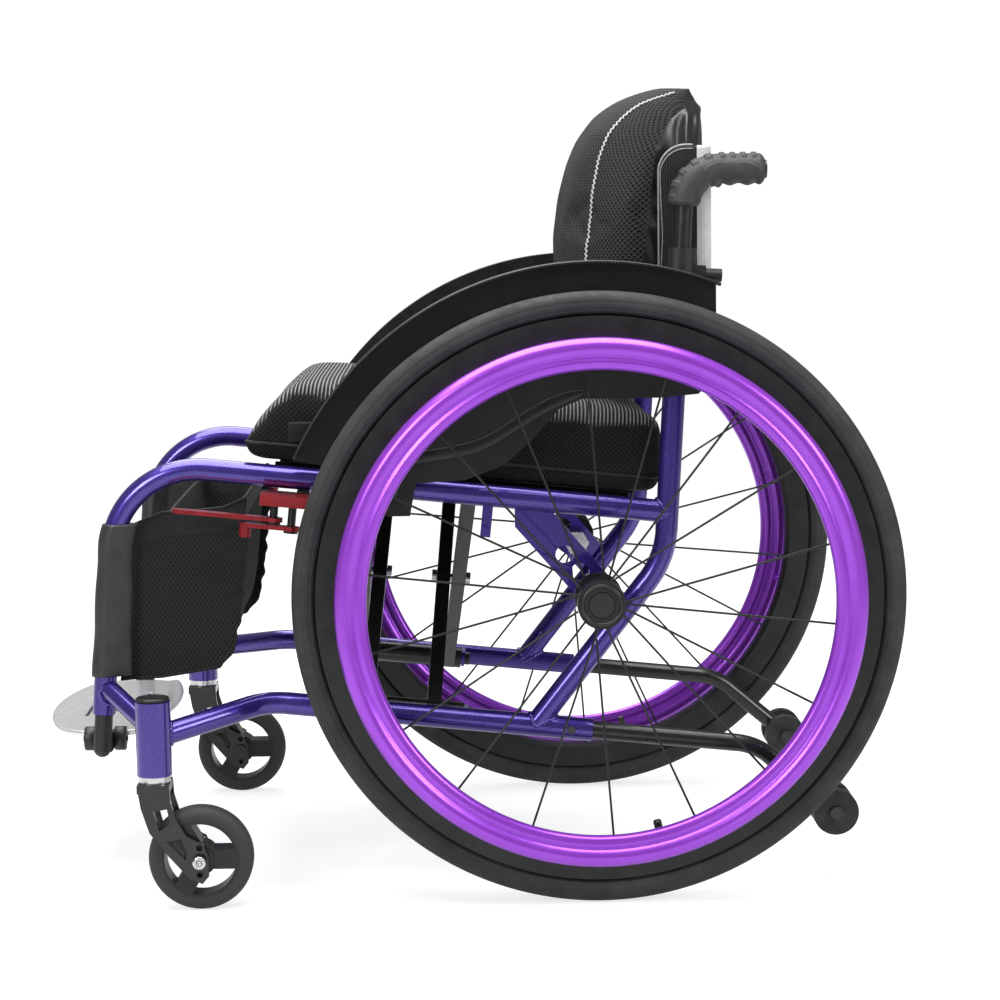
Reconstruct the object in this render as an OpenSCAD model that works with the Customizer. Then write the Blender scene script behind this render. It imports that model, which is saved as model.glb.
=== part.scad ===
// Folding sports wheelchair, standing on a floor at z = 0, facing +X, with its left side at +Y.
// It is drawn about the rear axle's line and then moved so that the middle of its length is at x = 0.

/* [Rear wheels] */
// Outside diameter of the rear tyre
tyre_d = 590; // [570:1:620]
// Width of the rear tyre
tyre_w = 26; // [22:1:32]
// Height of the tyre over the rim
tyre_h = 23; // [16:1:26]
// Depth of the rim inside the tyre
rim_depth = 26; // [18:1:30]
// Width of the rim
rim_w = 22; // [18:1:26]
// Distance of the rear tyre's middle plane outside the side frame
wheel_stand = 68; // [66:1:80]
// Number of spokes in one wheel
spoke_count = 18; // [12:2:36]
// Spoke diameter
spoke_d = 2.2; // [1.8:0.1:3]
// Lacing angle between a spoke's hub end and its rim end
spoke_lacing = 12; // [0:1:30]
// Turn of the wheels as drawn
spoke_phase = 7; // [0:1:40]
// Distance of the handrim's outer edge inside the tyre's
handrim_step = 42; // [36:1:50]
// Thickness of the handrim's bar
handrim_bar_d = 18; // [14:1:22]
// Distance between the centres of the handrim's two lobes
handrim_lobe_step = 13; // [8:1:16]
// Distance from the tyre's middle plane to the handrim's
handrim_offset = 36; // [32:1:42]
// Number of tabs that hold the handrim
handrim_tabs = 6; // [4:1:8]
// Diameter of the handrim's tabs
handrim_tab_d = 8; // [6:1:10]
// Diameter of the hub barrel
hub_d = 30; // [26:1:36]
// Diameter of the hub flanges
hub_flange_d = 46; // [42:1:60]
// Thickness of a hub flange
hub_flange_t = 4; // [3:0.5:6]
// Distance of each hub flange from the tyre's middle plane
hub_flange_offset = 20; // [16:1:24]
// Reach of the hub inboard of the tyre's middle plane
hub_inner = 36; // [30:1:40]
// Reach of the hub outboard of the tyre's middle plane
hub_outer = 38; // [34:1:44]
// Quick-release axle diameter
axle_d = 12.7; // [12:0.1:14]
// Diameter of the quick-release button
axle_button_d = 24; // [18:1:30]
// Travel of the quick-release button
axle_button_travel = 2.5; // [1:0.5:4]

/* [Side frames] */
// Outside diameter of the frame tubes
tube_d = 22.2; // [20:0.1:24]
// Wall of the frame tubes
tube_wall = 2.2; // [1.6:0.1:3]
// Slope of the seat tube and the lower rail, falling to the rear
frame_tilt = 6.1; // [3:0.1:8]
// Drop of the lower rail's centre line below the axle
lower_rail_drop = 141.7; // [130:0.1:150]
// Rise of the seat tube's centre line over the axle
seat_tube_rise = 83.1; // [75:0.1:95]
// Distance of the lower rail's rear end in front of the axle
lower_rail_rear = 4.6; // [0:0.1:20]
// Distance of the front leg's foot in front of the rear tyre
leg_reach = 191; // [180:1:205]
// Height of the front leg's foot
leg_foot_z = 179; // [170:1:190]
// Forward lean of the front leg from top to bottom
leg_lean = 4.3; // [0:0.1:10]
// Bend radius of the seat tube's front corner
corner_bend_r = 85; // [60:1:110]
// Distance of the back cane behind the axle, at the seat tube
cane_back = 71.6; // [60:0.1:85]
// Rearward lean of the back cane
cane_lean = 3.4; // [0:0.1:8]
// Rise of the back cane's top over the axle
cane_rise = 331; // [310:1:360]
// Slope of the strut under the back cane
strut_slope = 51.7; // [45:0.1:58]
// Distance of the strut's centre line from the axle
strut_offset = 36; // [30:1:44]
// Bend radius between the back cane and its strut
cane_bend_r = 90; // [60:1:110]
// Where the lower rail bends outwards, in front of the rear tyre
rail_bend_gap = 30; // [20:1:45]
// Bend radius of the lower rail
rail_bend_r = 60; // [40:1:90]
// Width of the axle plate
axle_plate_w = 37; // [34:1:44]
// Thickness of the axle plate
axle_plate_t = 6; // [4:0.5:8]
// Slope of the axle plate
axle_plate_slope = 49.4; // [45:0.1:55]
// Front end of the axle plate, in front of the axle
axle_plate_front = 78.5; // [72:0.5:90]
// Diameter of the spare axle holes
axle_hole_d = 18; // [12:0.5:20]
// Step between the axle positions
axle_hole_step = 23; // [21:1:26]
// Outside diameter of the axle sleeve
axle_sleeve_d = 24; // [20:1:26]

/* [Casters] */
// Diameter of the caster wheel
caster_d = 101; // [90:1:108]
// Width of the caster wheel
caster_w = 26; // [20:1:30]
// Distance of the caster's swivel axis outside the side frame
caster_stand = 68; // [60:1:76]
// Distance of the caster's swivel axis in front of the rear tyre
head_reach = 135; // [125:1:145]
// Trail of the caster wheel behind its swivel axis
caster_trail = 43; // [30:1:46]
// Outside diameter of the head tube
head_d = 34; // [30:1:40]
// Gap between the caster wheel and the crown of its fork
crown_gap = 16; // [10:1:20]
// Height of the collar between the fork's crown and the head tube
fork_collar_h = 6.5; // [3:0.5:10]
// Length of the head tube
head_len = 72; // [60:1:80]
// Diameter of the caster stem
stem_d = 20; // [12:0.5:22]
// Outside diameter of the short tube between the front leg and the head tube
head_brace_d = 19; // [16:0.5:22]
// Thickness of a fork plate
fork_plate_t = 4; // [3:0.5:5]
// Diameter of the caster axle
caster_axle_d = 8; // [6:0.5:10]
// Diameter of the spare axle holes in the fork
fork_hole_d = 6; // [4:0.5:7]
// Step between the axle holes in the fork
fork_hole_step = 13; // [11:0.5:15]

/* [Folding brace and seat] */
// Distance of the brace's lower pivots inside the side frames
pivot_inset = 26; // [25:1:36]
// Middle of the brace, in front of the axle along the lower rail
brace_x = 196; // [180:1:210]
// Width of a brace upright along the chair
upright_w = 14; // [10:1:16]
// Depth of a brace upright
upright_d = 25; // [18:1:28]
// Distance between the inner brace's two uprights
inner_upright_step = 67; // [60:1:76]
// Gap between neighbouring uprights
upright_gap = 2; // [1:0.5:4]
// Diameter of the lower pivot tubes
pivot_tube_d = 22; // [18:1:24]
// Diameter of the brace bolts
brace_bolt_d = 8; // [6:0.5:10]
// Diameter of the seat rails
seat_rail_d = 20; // [16:1:22]
// Length of the seat rails
seat_rail_len = 350; // [320:1:360]
// Height of the seat rails over the seat tubes
seat_rail_lift = 2; // [0:0.5:6]
// Width of the seat cushion, which sets the width of the chair
cushion_w = 380; // [350:1:460]
// How far the cushion reaches past the middle of the seat tubes
cushion_overhang = 6; // [0:1:10]
// Length of the seat cushion at its base
cushion_len = 418; // [390:1:430]
// Height of the seat cushion's sides
cushion_side_h = 73; // [50:1:80]
// Rise of the seat cushion's crown over its sides
cushion_crown = 8; // [4:1:20]
// Set-back of the cushion's top edge from its front foot
cushion_slant = 10; // [0:1:30]

/* [Back] */
// Distance of the back pad's sides inside the side frames
back_pad_inset = 26; // [24:1:40]
// Rise of the back pad's top over the axle
back_pad_rise = 494; // [470:1:510]
// Height of the back pad
back_pad_h = 311; // [290:1:320]
// Thickness of the back pad in its middle
back_pad_t = 108; // [80:1:112]
// Rise of the back sling's top over the axle
back_sling_rise = 432; // [410:1:450]
// Height of the back sling's wings
back_sling_h = 245; // [200:1:260]
// Height of the back sling's rear panel
back_panel_h = 127; // [100:1:160]
// Thickness of the back sling's cloth
back_sling_t = 4; // [3:0.5:6]
// Reach of the push handle behind the cane
handle_reach = 78; // [60:1:100]
// Rise of the push handle over the top of the back cane
handle_rise = 77; // [66:1:95]
// Bend radius of the push handle's tube
handle_bend_r = 34; // [30:1:44]
// Diameter of the grip
grip_d = 32; // [26:1:36]
// Outside diameter of the handle clamp
handle_clamp_d = 30; // [28:1:31]
// Height of the handle clamp
handle_clamp_h = 38; // [30:1:44]
// Diameter of the clamp knob
clamp_knob_d = 13; // [10:1:16]
// Length of the clamp knob
clamp_knob_len = 16; // [10:1:24]

/* [Side guards] */
// Gap between the tyre and the side guard's top edge
guard_gap = 28; // [20:1:40]
// Thickness of the side guard
guard_t = 3; // [2:0.5:4]
// Width of the side guard's top flange
guard_flange_w = 24; // [10:1:30]
// Gap between the side frame's tubes and the side guard
guard_stand = 5; // [4.5:0.5:6]

/* [Brakes] */
// Distance of the lever's pivot in front of the rear tyre, along the seat tube
brake_reach = 40; // [38:1:50]
// Distance between the lever's and the shoe's pivots
brake_pivot_step = 18; // [17:1:24]
// Length of the brake lever
brake_lever_len = 92; // [70:1:110]
// Width of the brake lever
brake_lever_w = 13; // [10:1:15]
// Thickness of the brake's plates
brake_plate_t = 4; // [3:0.5:6]
// Length of the shoe arm
brake_shoe_len = 44; // [40:1:46]
// Diameter of the brake shoe
brake_shoe_d = 12; // [8:1:13]
// Diameter of the brake's posts
brake_post_d = 8; // [6:0.5:9]

/* [Anti-tip supports] */
// Length of the anti-tip tube's straight run behind the lower rail
anti_tip_run = 163; // [140:1:180]
// Length of the anti-tip tube's bent end
anti_tip_drop = 101; // [85:1:110]
// Bend of the anti-tip tube
anti_tip_bend = 34; // [20:1:45]
// Bend radius of the anti-tip tube
anti_tip_bend_r = 60; // [40:1:80]
// Diameter of the anti-tip wheels
anti_tip_wheel_d = 45; // [36:1:50]
// Width of an anti-tip wheel
anti_tip_wheel_w = 14; // [10:1:18]
// Diameter of the snap button
snap_button_d = 8; // [6:0.5:9]
// Distance of the snap button in front of the lower rail's end
snap_button_x = 21; // [16:1:30]
// Travel of the snap button
snap_button_travel = 1.5; // [1:0.1:1.7]

/* [Footplate and calf bag] */
// Front edge of the footplate, in front of the rear tyre
toe_reach = 267; // [255:1:285]
// Depth of the footplate from heel to toe
footplate_depth = 133; // [115:1:150]
// Thickness of the footplate
footplate_t = 6; // [4:0.5:8]
// Gap between the footplate's free end and the middle of the far side frame
footplate_end_gap = 38; // [34:1:46]
// Height of the footplate's hinge
footplate_hinge_z = 149; // [145:0.5:156]
// Distance of the footplate's hinge inside the front leg
footplate_hinge_inset = 24; // [22:1:28]
// Number of slots in the footplate
footplate_slots = 3; // [1:1:4]
// Depth of the calf bag behind the front legs
bag_depth = 112; // [90:1:130]
// Height of the calf bag
bag_h = 168; // [140:1:180]
// Thickness of the calf bag's cloth
bag_wall = 3; // [2:0.5:5]

/* [Hidden] */
$fn = 64;
// Overrun of every cut
cut = 1;
// Radial clearance of a turning fit
run_gap = 0.06;
// Radial clearance of a tube that slides in another
slide_gap = 0.1;
// Gap between pieces that rest on each other
rest_gap = 0.3;
// Radial gap of the button in the hub's recess
recess_gap = 0.6;
// How much thinner a tube is in its bend, and how far its straights lap into the bend
bend_step = 0.15;
bend_lap = 0.8;
// Gap between a tube and the end of another that is shaped to it
cope_gap = 0.3;

tube_r = tube_d / 2;
bore_r = tube_r - tube_wall;
inner_tube_r = bore_r - slide_gap;
inner_tube_wall = 2;
tyre_r = tyre_d / 2;
axle_z = tyre_r;
frame_y = cushion_w / 2 - cushion_overhang;
pivot_y = frame_y - pivot_inset;
pivot_w = 2 * pivot_y;
wheel_y = frame_y + wheel_stand;
caster_y = frame_y + caster_stand;
caster_z = caster_d / 2;
lower_rail_z = axle_z - lower_rail_drop;
seat_tube_z = axle_z + seat_tube_rise;
cane_top_z = axle_z + cane_rise;
back_pad_top_z = axle_z + back_pad_rise;
back_sling_top_z = axle_z + back_sling_rise;
handle_z = cane_top_z + handle_rise;
leg_foot_x = tyre_r + leg_reach;
rail_bend_x = tyre_r + rail_bend_gap;
head_x = tyre_r + head_reach;
brake_x = tyre_r + brake_reach;
footplate_front = tyre_r + toe_reach;
fork_bridge_h = 8;
fork_bridge_z = caster_d + crown_gap;
head_bottom_z = fork_bridge_z + fork_bridge_h + fork_collar_h;
origin_x = (footplate_front - tyre_r) / 2;

// Plane geometry in the side view, as [x, z]
function cross_2d(a, b) = a[0] * b[1] - a[1] * b[0];
function meet(p, u, q, v) = p + u * (cross_2d(q - p, v) / cross_2d(u, v));
function heading(angle) = [cos(angle), sin(angle)];
function in_side(p, y = frame_y) = [p[0], y, p[1]];

// Space geometry
upright_share = 0.9;
function unit(v) = v / norm(v);
function flank(d) = unit(cross(d, abs(d[2]) < upright_share ? [0, 0, 1] : [1, 0, 0]));
function mix(a, b, share) = a + (b - a) * share;

axle = [0, axle_z];
rail_dir = heading(frame_tilt);
function lower_at(x) = [x, lower_rail_z + x * tan(frame_tilt)];
function seat_at(x) = [x, seat_tube_z + x * tan(frame_tilt)];
leg_foot = [leg_foot_x, leg_foot_z];
leg_dir = heading(leg_lean - 90);
corner = meet(seat_at(0), rail_dir, leg_foot, leg_dir);
cane_foot = seat_at(-cane_back);
cane_dir = heading(90 + cane_lean);
cane_top = meet(cane_foot, cane_dir, [0, cane_top_z], [1, 0]);
strut_dir = heading(-strut_slope);
strut_point = axle - strut_offset * heading(90 - strut_slope);
cane_corner = meet(cane_foot, cane_dir, strut_point, strut_dir);
strut_foot = meet(strut_point, strut_dir, lower_at(0), rail_dir);
rail_bend = in_side(lower_at(rail_bend_x));
head_joint_share = 0.5;
head_joint = [head_x, caster_y, head_bottom_z + head_len * head_joint_share];
function leg_at(z) = meet(leg_foot, leg_dir, [0, z], [1, 0]);

// The frame that the rails and the brace share: x along the rails, z square to them
rail_gap = (seat_tube_z - lower_rail_z) * cos(frame_tilt);
seat_rail_r = seat_rail_d / 2;
seat_rail_h = rail_gap + seat_rail_lift;
brace_len = norm([pivot_w, seat_rail_h]);
brace_angle = atan2(seat_rail_h, pivot_w);

module frame_at(p, x, y) {
    z = cross(x, y);
    multmatrix([
        [x[0], y[0], z[0], p[0]],
        [x[1], y[1], z[1], p[1]],
        [x[2], y[2], z[2], p[2]],
    ]) children();
}

module along(p, d) {
    z = unit(d);
    x = flank(z);
    frame_at(p, x, cross(z, x)) children();
}

module ring(outer_r, inner_r) {
    difference() {
        circle(outer_r);
        if (inner_r > 0) circle(inner_r);
    }
}

module rod(a, b, r) along(a, b - a) cylinder(r = r, h = norm(b - a));

// A bar from a to c by way of the corner b, with one bend; each straight laps a little into the bend
module bent_rod(a, b, c, bend_r, r, past_a = 0, past_c = 0) {
    u = unit(b - a);
    v = unit(c - b);
    turn = acos(u * v);
    reach = bend_r * tan(turn / 2);
    inward = unit(v - u * (u * v));
    frame_at(b - u * reach + inward * bend_r, -inward, u) {
        rotate_extrude(angle = turn) translate([bend_r, 0]) circle(r - bend_step);
        translate([bend_r, bend_lap, 0]) rotate([90, 0, 0])
            cylinder(r = r, h = norm(b - a) - reach + bend_lap + past_a);
        rotate([0, 0, turn]) translate([bend_r, -bend_lap, 0]) rotate([-90, 0, 0])
            cylinder(r = r, h = norm(c - b) - reach + bend_lap + past_c);
    }
}

module across_y(y_low, y_high, r)
    translate([0, y_low, 0]) rotate([-90, 0, 0]) cylinder(r = r, h = y_high - y_low);
module across_x(x_low, x_high, r)
    translate([x_low, 0, 0]) rotate([0, 90, 0]) cylinder(r = r, h = x_high - x_low);
module tilted() translate([0, 0, lower_rail_z]) rotate([0, -frame_tilt, 0]) children();
module block(low, high) translate(low) cube(high - low);
module left_side() translate([-origin_x, 0, 0]) children();
module right_side() translate([-origin_x, 0, 0]) mirror([0, 1, 0]) children();

// A closed skin over two grids of points, the upper one and the lower one, with walls between their edges
module soft_form(upper, lower) {
    n = len(upper) - 1;
    m = len(upper[0]) - 1;
    row = m + 1;
    count = (n + 1) * row;
    points = concat([for (line = upper) each line], [for (line = lower) each line]);
    edge = concat(
        [for (i = [0:n - 1]) i * row],
        [for (j = [0:m - 1]) n * row + j],
        [for (i = [n:-1:1]) i * row + m],
        [for (j = [m:-1:1]) j]);
    faces = concat(
        [for (i = [0:n - 1], j = [0:m - 1]) each
            [[i * row + j, i * row + j + 1, (i + 1) * row + j + 1],
             [i * row + j, (i + 1) * row + j + 1, (i + 1) * row + j]]],
        [for (i = [0:n - 1], j = [0:m - 1]) each
            [[count + i * row + j, count + (i + 1) * row + j + 1, count + i * row + j + 1],
             [count + i * row + j, count + (i + 1) * row + j, count + (i + 1) * row + j + 1]]],
        [for (k = [0:len(edge) - 1]) let (a = edge[k], b = edge[(k + 1) % len(edge)]) each
            [[a, b, count + b], [a, count + b, count + a]]]);
    polyhedron(points, faces);
}

// Rear wheel, about its own middle
rim_r = tyre_r - tyre_h;
rim_inner_r = rim_r - rim_depth;
rim_chamfer = 4;
hub_cap_len = 12;
recess_depth = 9;
axle_proud = 0.5;
spoke_seat_gap = 0.4;
spoke_spread = 3;
axle_button_t = 5.5;
axle_button_stem_d = 6;
axle_button_stem_len = 16;
axle_nut_d = 28;
axle_nut_h = 10;
sleeve_reach = 14;

module at_wheel() translate([0, wheel_y, axle_z]) children();
module spun() rotate([90, 0, 0]) rotate_extrude() children();

module tyre() {
    color("#232325") at_wheel() difference() {
        spun() translate([tyre_r - tyre_w / 2, 0]) circle(d = tyre_w);
        across_y(-tyre_w, tyre_w, rim_r);
    }
}

module rim() {
    half = rim_w / 2;
    color("#1b1b1d") at_wheel() spun() polygon([
        [rim_inner_r, rim_chamfer - half], [rim_inner_r + rim_chamfer, -half], [rim_r, -half],
        [rim_r, half], [rim_inner_r + rim_chamfer, half], [rim_inner_r, half - rim_chamfer]]);
}

module spokes() {
    hub_end_r = hub_flange_d / 2 + spoke_seat_gap;
    rim_end_r = rim_inner_r - spoke_seat_gap;
    color("#151516") at_wheel() for (i = [0:spoke_count - 1]) {
        side = i % 2 == 0 ? 1 : -1;
        twist = floor(i / 2) % 2 == 0 ? spoke_lacing : -spoke_lacing;
        turn = spoke_phase + 360 * i / spoke_count;
        rod([hub_end_r * cos(turn + twist), side * hub_flange_offset, hub_end_r * sin(turn + twist)],
            [rim_end_r * cos(turn), side * spoke_spread, rim_end_r * sin(turn)], spoke_d / 2);
    }
}

module hub() {
    color("#111112") at_wheel() difference() {
        union() {
            across_y(-hub_inner, hub_outer, hub_d / 2);
            for (y = [-hub_flange_offset, hub_flange_offset])
                across_y(y - hub_flange_t / 2, y + hub_flange_t / 2, hub_flange_d / 2);
            across_y(hub_outer - hub_cap_len, hub_outer, hub_flange_d / 2);
        }
        across_y(-hub_inner - cut, hub_outer + cut, axle_d / 2 + run_gap);
        across_y(hub_outer - recess_depth, hub_outer + cut, axle_button_d / 2 + recess_gap);
    }
}

module handrim() {
    outer_lobe = tyre_r - handrim_step - handrim_bar_d / 2;
    color("#8a2be2") at_wheel() {
        translate([0, handrim_offset, 0]) spun()
            for (r = [outer_lobe, outer_lobe - handrim_lobe_step]) translate([r, 0]) circle(d = handrim_bar_d);
        for (i = [0:handrim_tabs - 1]) rotate([0, 360 * (i + 1 / 2) / handrim_tabs, 0])
            translate([rim_inner_r + rim_chamfer, 0, 0]) across_y(rim_w / 2, handrim_offset, handrim_tab_d / 2);
    }
}

// The axle stays with the side frame, and the hub turns on it
module axle_rod() {
    outer = wheel_y + hub_outer - recess_depth + axle_proud;
    color("silver") translate([0, 0, axle_z]) difference() {
        union() {
            across_y(frame_y - sleeve_reach - axle_nut_h, outer, axle_d / 2);
            translate([0, frame_y - sleeve_reach - axle_nut_h, 0]) rotate([-90, 0, 0])
                cylinder(d = axle_nut_d, h = axle_nut_h, $fn = 6);
        }
        across_y(outer - axle_button_stem_len - axle_button_travel - cut, outer + cut,
            axle_button_stem_d / 2 + run_gap);
    }
}

module axle_button() {
    face = wheel_y + hub_outer + axle_proud;
    color("#141414") translate([0, 0, axle_z]) {
        across_y(face - axle_button_t, face, axle_button_d / 2);
        across_y(face - axle_button_t - axle_button_stem_len, face - axle_button_t / 2, axle_button_stem_d / 2);
    }
}

// Side frame
frame_colour = "#3d239e";
saddle_rear_x = 60;
saddle_gap = 1;
saddle_w = 24;
saddle_t = 4;
saddle_lip = 6;
tab_x = 128;
tab_w = 10;
tab_t = 6;
tab_h = 30;
weld = 1;
bracket_t = 4;
bracket_r = 9;
head_cap_t = 4;
head_brace_up_share = 0.6;
head_brace_rise = 28;

module side_tube() {
    rear = in_side(cane_foot);
    foot = in_side(leg_foot);
    floor_z = seat_rail_h - seat_rail_r - rest_gap;
    lip_y = pivot_y - seat_rail_r - rest_gap;
    saddle_front_x = brake_x - brake_bar_rear - saddle_gap - saddle_w / 2;
    saddle_y = frame_y - axle_plate_t / 2 - cope_gap;
    color(frame_colour) difference() {
        union() {
            bent_rod(rear, in_side(corner), foot, corner_bend_r, tube_r);
            tilted() {
                for (x = [saddle_rear_x, saddle_front_x]) {
                    block([x - saddle_w / 2, lip_y - saddle_t, floor_z - saddle_t],
                        [x + saddle_w / 2, saddle_y, floor_z]);
                    block([x - saddle_w / 2, lip_y - saddle_t, floor_z - saddle_t],
                        [x + saddle_w / 2, lip_y, floor_z + saddle_lip]);
                }
                block([tab_x - tab_w / 2, frame_y - tab_t / 2, rail_gap - tube_r - tab_h],
                    [tab_x + tab_w / 2, frame_y + tab_t / 2, rail_gap]);
            }
        }
        bent_rod(rear, in_side(corner), foot, corner_bend_r, bore_r, cut, cut);
        rod(in_side(cane_corner), in_side(cane_top), tube_r + cope_gap);
    }
}

bracket_x = pivot_tube_half() + rest_gap;
function pivot_tube_half() = inner_upright_step / 2 + upright_w + upright_gap + upright_w;

module lower_rail() {
    rear = in_side(lower_at(lower_rail_rear));
    brace_foot = in_side(leg_at(leg_foot_z + head_brace_rise));
    brace_head = [head_x, caster_y, head_bottom_z + head_len * head_brace_up_share];
    button_at = in_side(lower_at(lower_rail_rear + snap_button_x));
    color(frame_colour) difference() {
        union() {
            difference() {
                union() {
                    bent_rod(rear, rail_bend, head_joint, rail_bend_r, tube_r);
                    tilted() for (side = [-1, 1]) {
                        x = brace_x + side * (bracket_x + bracket_t / 2);
                        block([x - bracket_t / 2, pivot_y, -bracket_r],
                            [x + bracket_t / 2, frame_y, bracket_r]);
                        translate([0, pivot_y, 0]) across_x(x - bracket_t / 2, x + bracket_t / 2, bracket_r);
                    }
                }
                bent_rod(rear, rail_bend, head_joint, rail_bend_r, bore_r, cut);
            }
            rod(brace_foot, brace_head, head_brace_d / 2);
            translate([head_x, caster_y, head_bottom_z]) cylinder(d = head_d, h = head_len);
        }
        translate([head_x, caster_y, head_bottom_z - cut])
            cylinder(d = stem_d + 2 * run_gap, h = head_len - head_cap_t + cut);
        rod(in_side(leg_foot) - in_side(leg_dir, 0) * corner_bend_r, in_side(leg_foot), tube_r + cope_gap);
        tilted() translate([brace_x, pivot_y, 0])
            across_x(-bracket_x - bracket_t - cut, bracket_x + bracket_t + cut, brace_bolt_d / 2 + run_gap);
        translate(button_at) across_y(0, tube_d, snap_button_d / 2 + run_gap);
    }
}

module back_cane() {
    top = in_side(cane_top);
    foot = in_side(strut_foot);
    color(frame_colour) difference() {
        bent_rod(top, in_side(cane_corner), foot, cane_bend_r, tube_r);
        bent_rod(top, in_side(cane_corner), foot, cane_bend_r, bore_r, cut);
        rod(in_side(lower_at(-tube_d)), in_side(lower_at(rail_bend_x / 2)), tube_r + cope_gap);
    }
}

module axle_plate() {
    plate_dir = heading(axle_plate_slope);
    square_to = heading(axle_plate_slope + 90);
    rear_edge = axle + square_to * axle_plate_w / 2;
    front_edge = axle - square_to * axle_plate_w / 2;
    front_low = meet(front_edge, plate_dir, [axle_plate_front, 0], [0, 1]);
    outline = [
        meet(rear_edge, plate_dir, seat_at(0), rail_dir),
        seat_at(axle_plate_front),
        front_low,
        meet(front_edge, plate_dir, strut_point, strut_dir),
        meet(rear_edge, plate_dir, strut_point, strut_dir)];
    color(frame_colour) difference() {
        union() {
            translate([0, frame_y + axle_plate_t / 2, 0]) rotate([90, 0, 0])
                linear_extrude(axle_plate_t) polygon(outline);
            translate([0, 0, axle_z])
                across_y(frame_y - sleeve_reach, wheel_y - hub_inner - axle_proud, axle_sleeve_d / 2);
        }
        rod(in_side(cane_foot), in_side(seat_at(axle_plate_front * 2)), tube_r + cope_gap);
        rod(in_side(cane_corner), in_side(strut_foot), tube_r + cope_gap);
        translate([0, 0, axle_z]) across_y(0, wheel_y, axle_d / 2 + run_gap);
        for (k = [1, 2]) {
            p = axle + plate_dir * k * axle_hole_step;
            translate([p[0], 0, p[1]])
                across_y(frame_y - axle_plate_t, frame_y + axle_plate_t, axle_hole_d / 2);
        }
    }
}

// Foot of the front leg: a plug in the leg, with the footplate's hinge on the left and its ledge on the right
insert_engage = 60;
insert_bottom_z = 135;
lug_w = 18;
lug_r = 9;
hinge_pin_d = 6;
ear_t = 11;
pin_head = 2;
ledge_w = 20;
ledge_t = 8;
ledge_overlap = 8;
hinge_y = frame_y - footplate_hinge_inset;
hinge_x = leg_at(footplate_hinge_z)[0];
footplate_end = footplate_end_gap - frame_y;

module leg_plug() {
    round_at = leg_at(insert_bottom_z + inner_tube_r);
    rod(in_side(leg_foot - leg_dir * insert_engage), in_side(round_at), inner_tube_r);
    translate(in_side(round_at)) sphere(inner_tube_r - bend_step);
}

module leg_insert_left() {
    pin_half = lug_w / 2 + run_gap + ear_t + pin_head;
    color("#17171a") {
        leg_plug();
        block([hinge_x - lug_w / 2, hinge_y, footplate_hinge_z - lug_r],
            [hinge_x + lug_w / 2, frame_y, footplate_hinge_z + lug_r]);
        translate([hinge_x, hinge_y, footplate_hinge_z]) {
            across_x(-lug_w / 2, lug_w / 2, lug_r);
            across_x(-pin_half, pin_half, hinge_pin_d / 2);
        }
    }
}

// Drawn on the left, like the rest of a side frame
module leg_insert_right() {
    top = footplate_hinge_z - footplate_t / 2 - rest_gap;
    color("#17171a") {
        leg_plug();
        block([hinge_x - ledge_w / 2, -footplate_end - ledge_overlap, top - ledge_t],
            [hinge_x + ledge_w / 2, frame_y, top]);
    }
}

// Caster fork: stem, bridge, two trailing plates and the axle
fork_ring_d = 31;
fork_plate_w = 31;
fork_axle_r = 12;
fork_inner_gap = 3;
bolt_head_d = 13;
bolt_head_h = 4;
stem_top_gap = 3;
// Shares of the trail and of the height between bridge and axle, from the plate's upper front corner
fork_outline_shares = [
    [-0.36, 1], [0.36, 1], [0.38, 0.78], [0.5, 0.55], [0.72, 0.33], [1.08, 0.22],
    [1.2, 0.05], [1.2, -0.2], [1.05, -0.3], [0.75, -0.22], [0.3, 0.08], [-0.1, 0.38], [-0.28, 0.7]];
fork_window_shares = [
    [[0, 0.66], [0.3, 0.69], [0.36, 0.5], [0.12, 0.4]],
    [[0.28, 0.26], [0.6, 0.3], [0.72, 0.12], [0.68, 0.02]]];

module fork_plate() {
    half = caster_w / 2 + fork_inner_gap;
    height = fork_bridge_z + fork_bridge_h - caster_z;
    translate([head_x, 0, caster_z]) for (side = [-1, 1])
        translate([0, caster_y + side * (half + fork_plate_t / 2) + fork_plate_t / 2, 0]) rotate([90, 0, 0])
            linear_extrude(fork_plate_t) difference() {
                polygon([for (s = fork_outline_shares) [-s[0] * caster_trail, s[1] * height]]);
                for (window = fork_window_shares)
                    polygon([for (s = window) [-s[0] * caster_trail, s[1] * height]]);
            }
}

module caster_fork() {
    half = caster_w / 2 + fork_inner_gap + fork_plate_t;
    axle_x = head_x - caster_trail;
    stem_top = head_bottom_z + head_len - head_cap_t - stem_top_gap;
    color("#19191b") difference() {
        union() {
            fork_plate();
            block([head_x - fork_plate_w / 2, caster_y - half, fork_bridge_z],
                [head_x + fork_plate_w / 2, caster_y + half, fork_bridge_z + fork_bridge_h]);
            translate([head_x, caster_y, 0]) {
                translate([0, 0, fork_bridge_z]) 
                    cylinder(d = fork_ring_d, h = head_bottom_z - rest_gap - fork_bridge_z);
                translate([0, 0, fork_bridge_z]) cylinder(d = stem_d, h = stem_top - fork_bridge_z);
            }
            translate([axle_x, 0, caster_z]) {
                across_y(caster_y - half - bolt_head_h, caster_y + half + bolt_head_h, caster_axle_d / 2);
                for (side = [-1, 1])
                    translate([0, caster_y + side * (half + bolt_head_h / 2), 0])
                        across_y(-bolt_head_h / 2, bolt_head_h / 2, bolt_head_d / 2);
            }
        }
        for (side = [-1, 1]) translate([axle_x, 0, caster_z + side * fork_hole_step])
            across_y(caster_y - half - cut, caster_y + half + cut, fork_hole_d / 2);
    }
}

// Caster wheel with three open windows between its spokes
caster_tread = 16;
caster_hub_d = 26;
caster_spoke_w = 11;
caster_hub_side = 2;
caster_window_round = 5;
caster_edge_r = 9;

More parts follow.
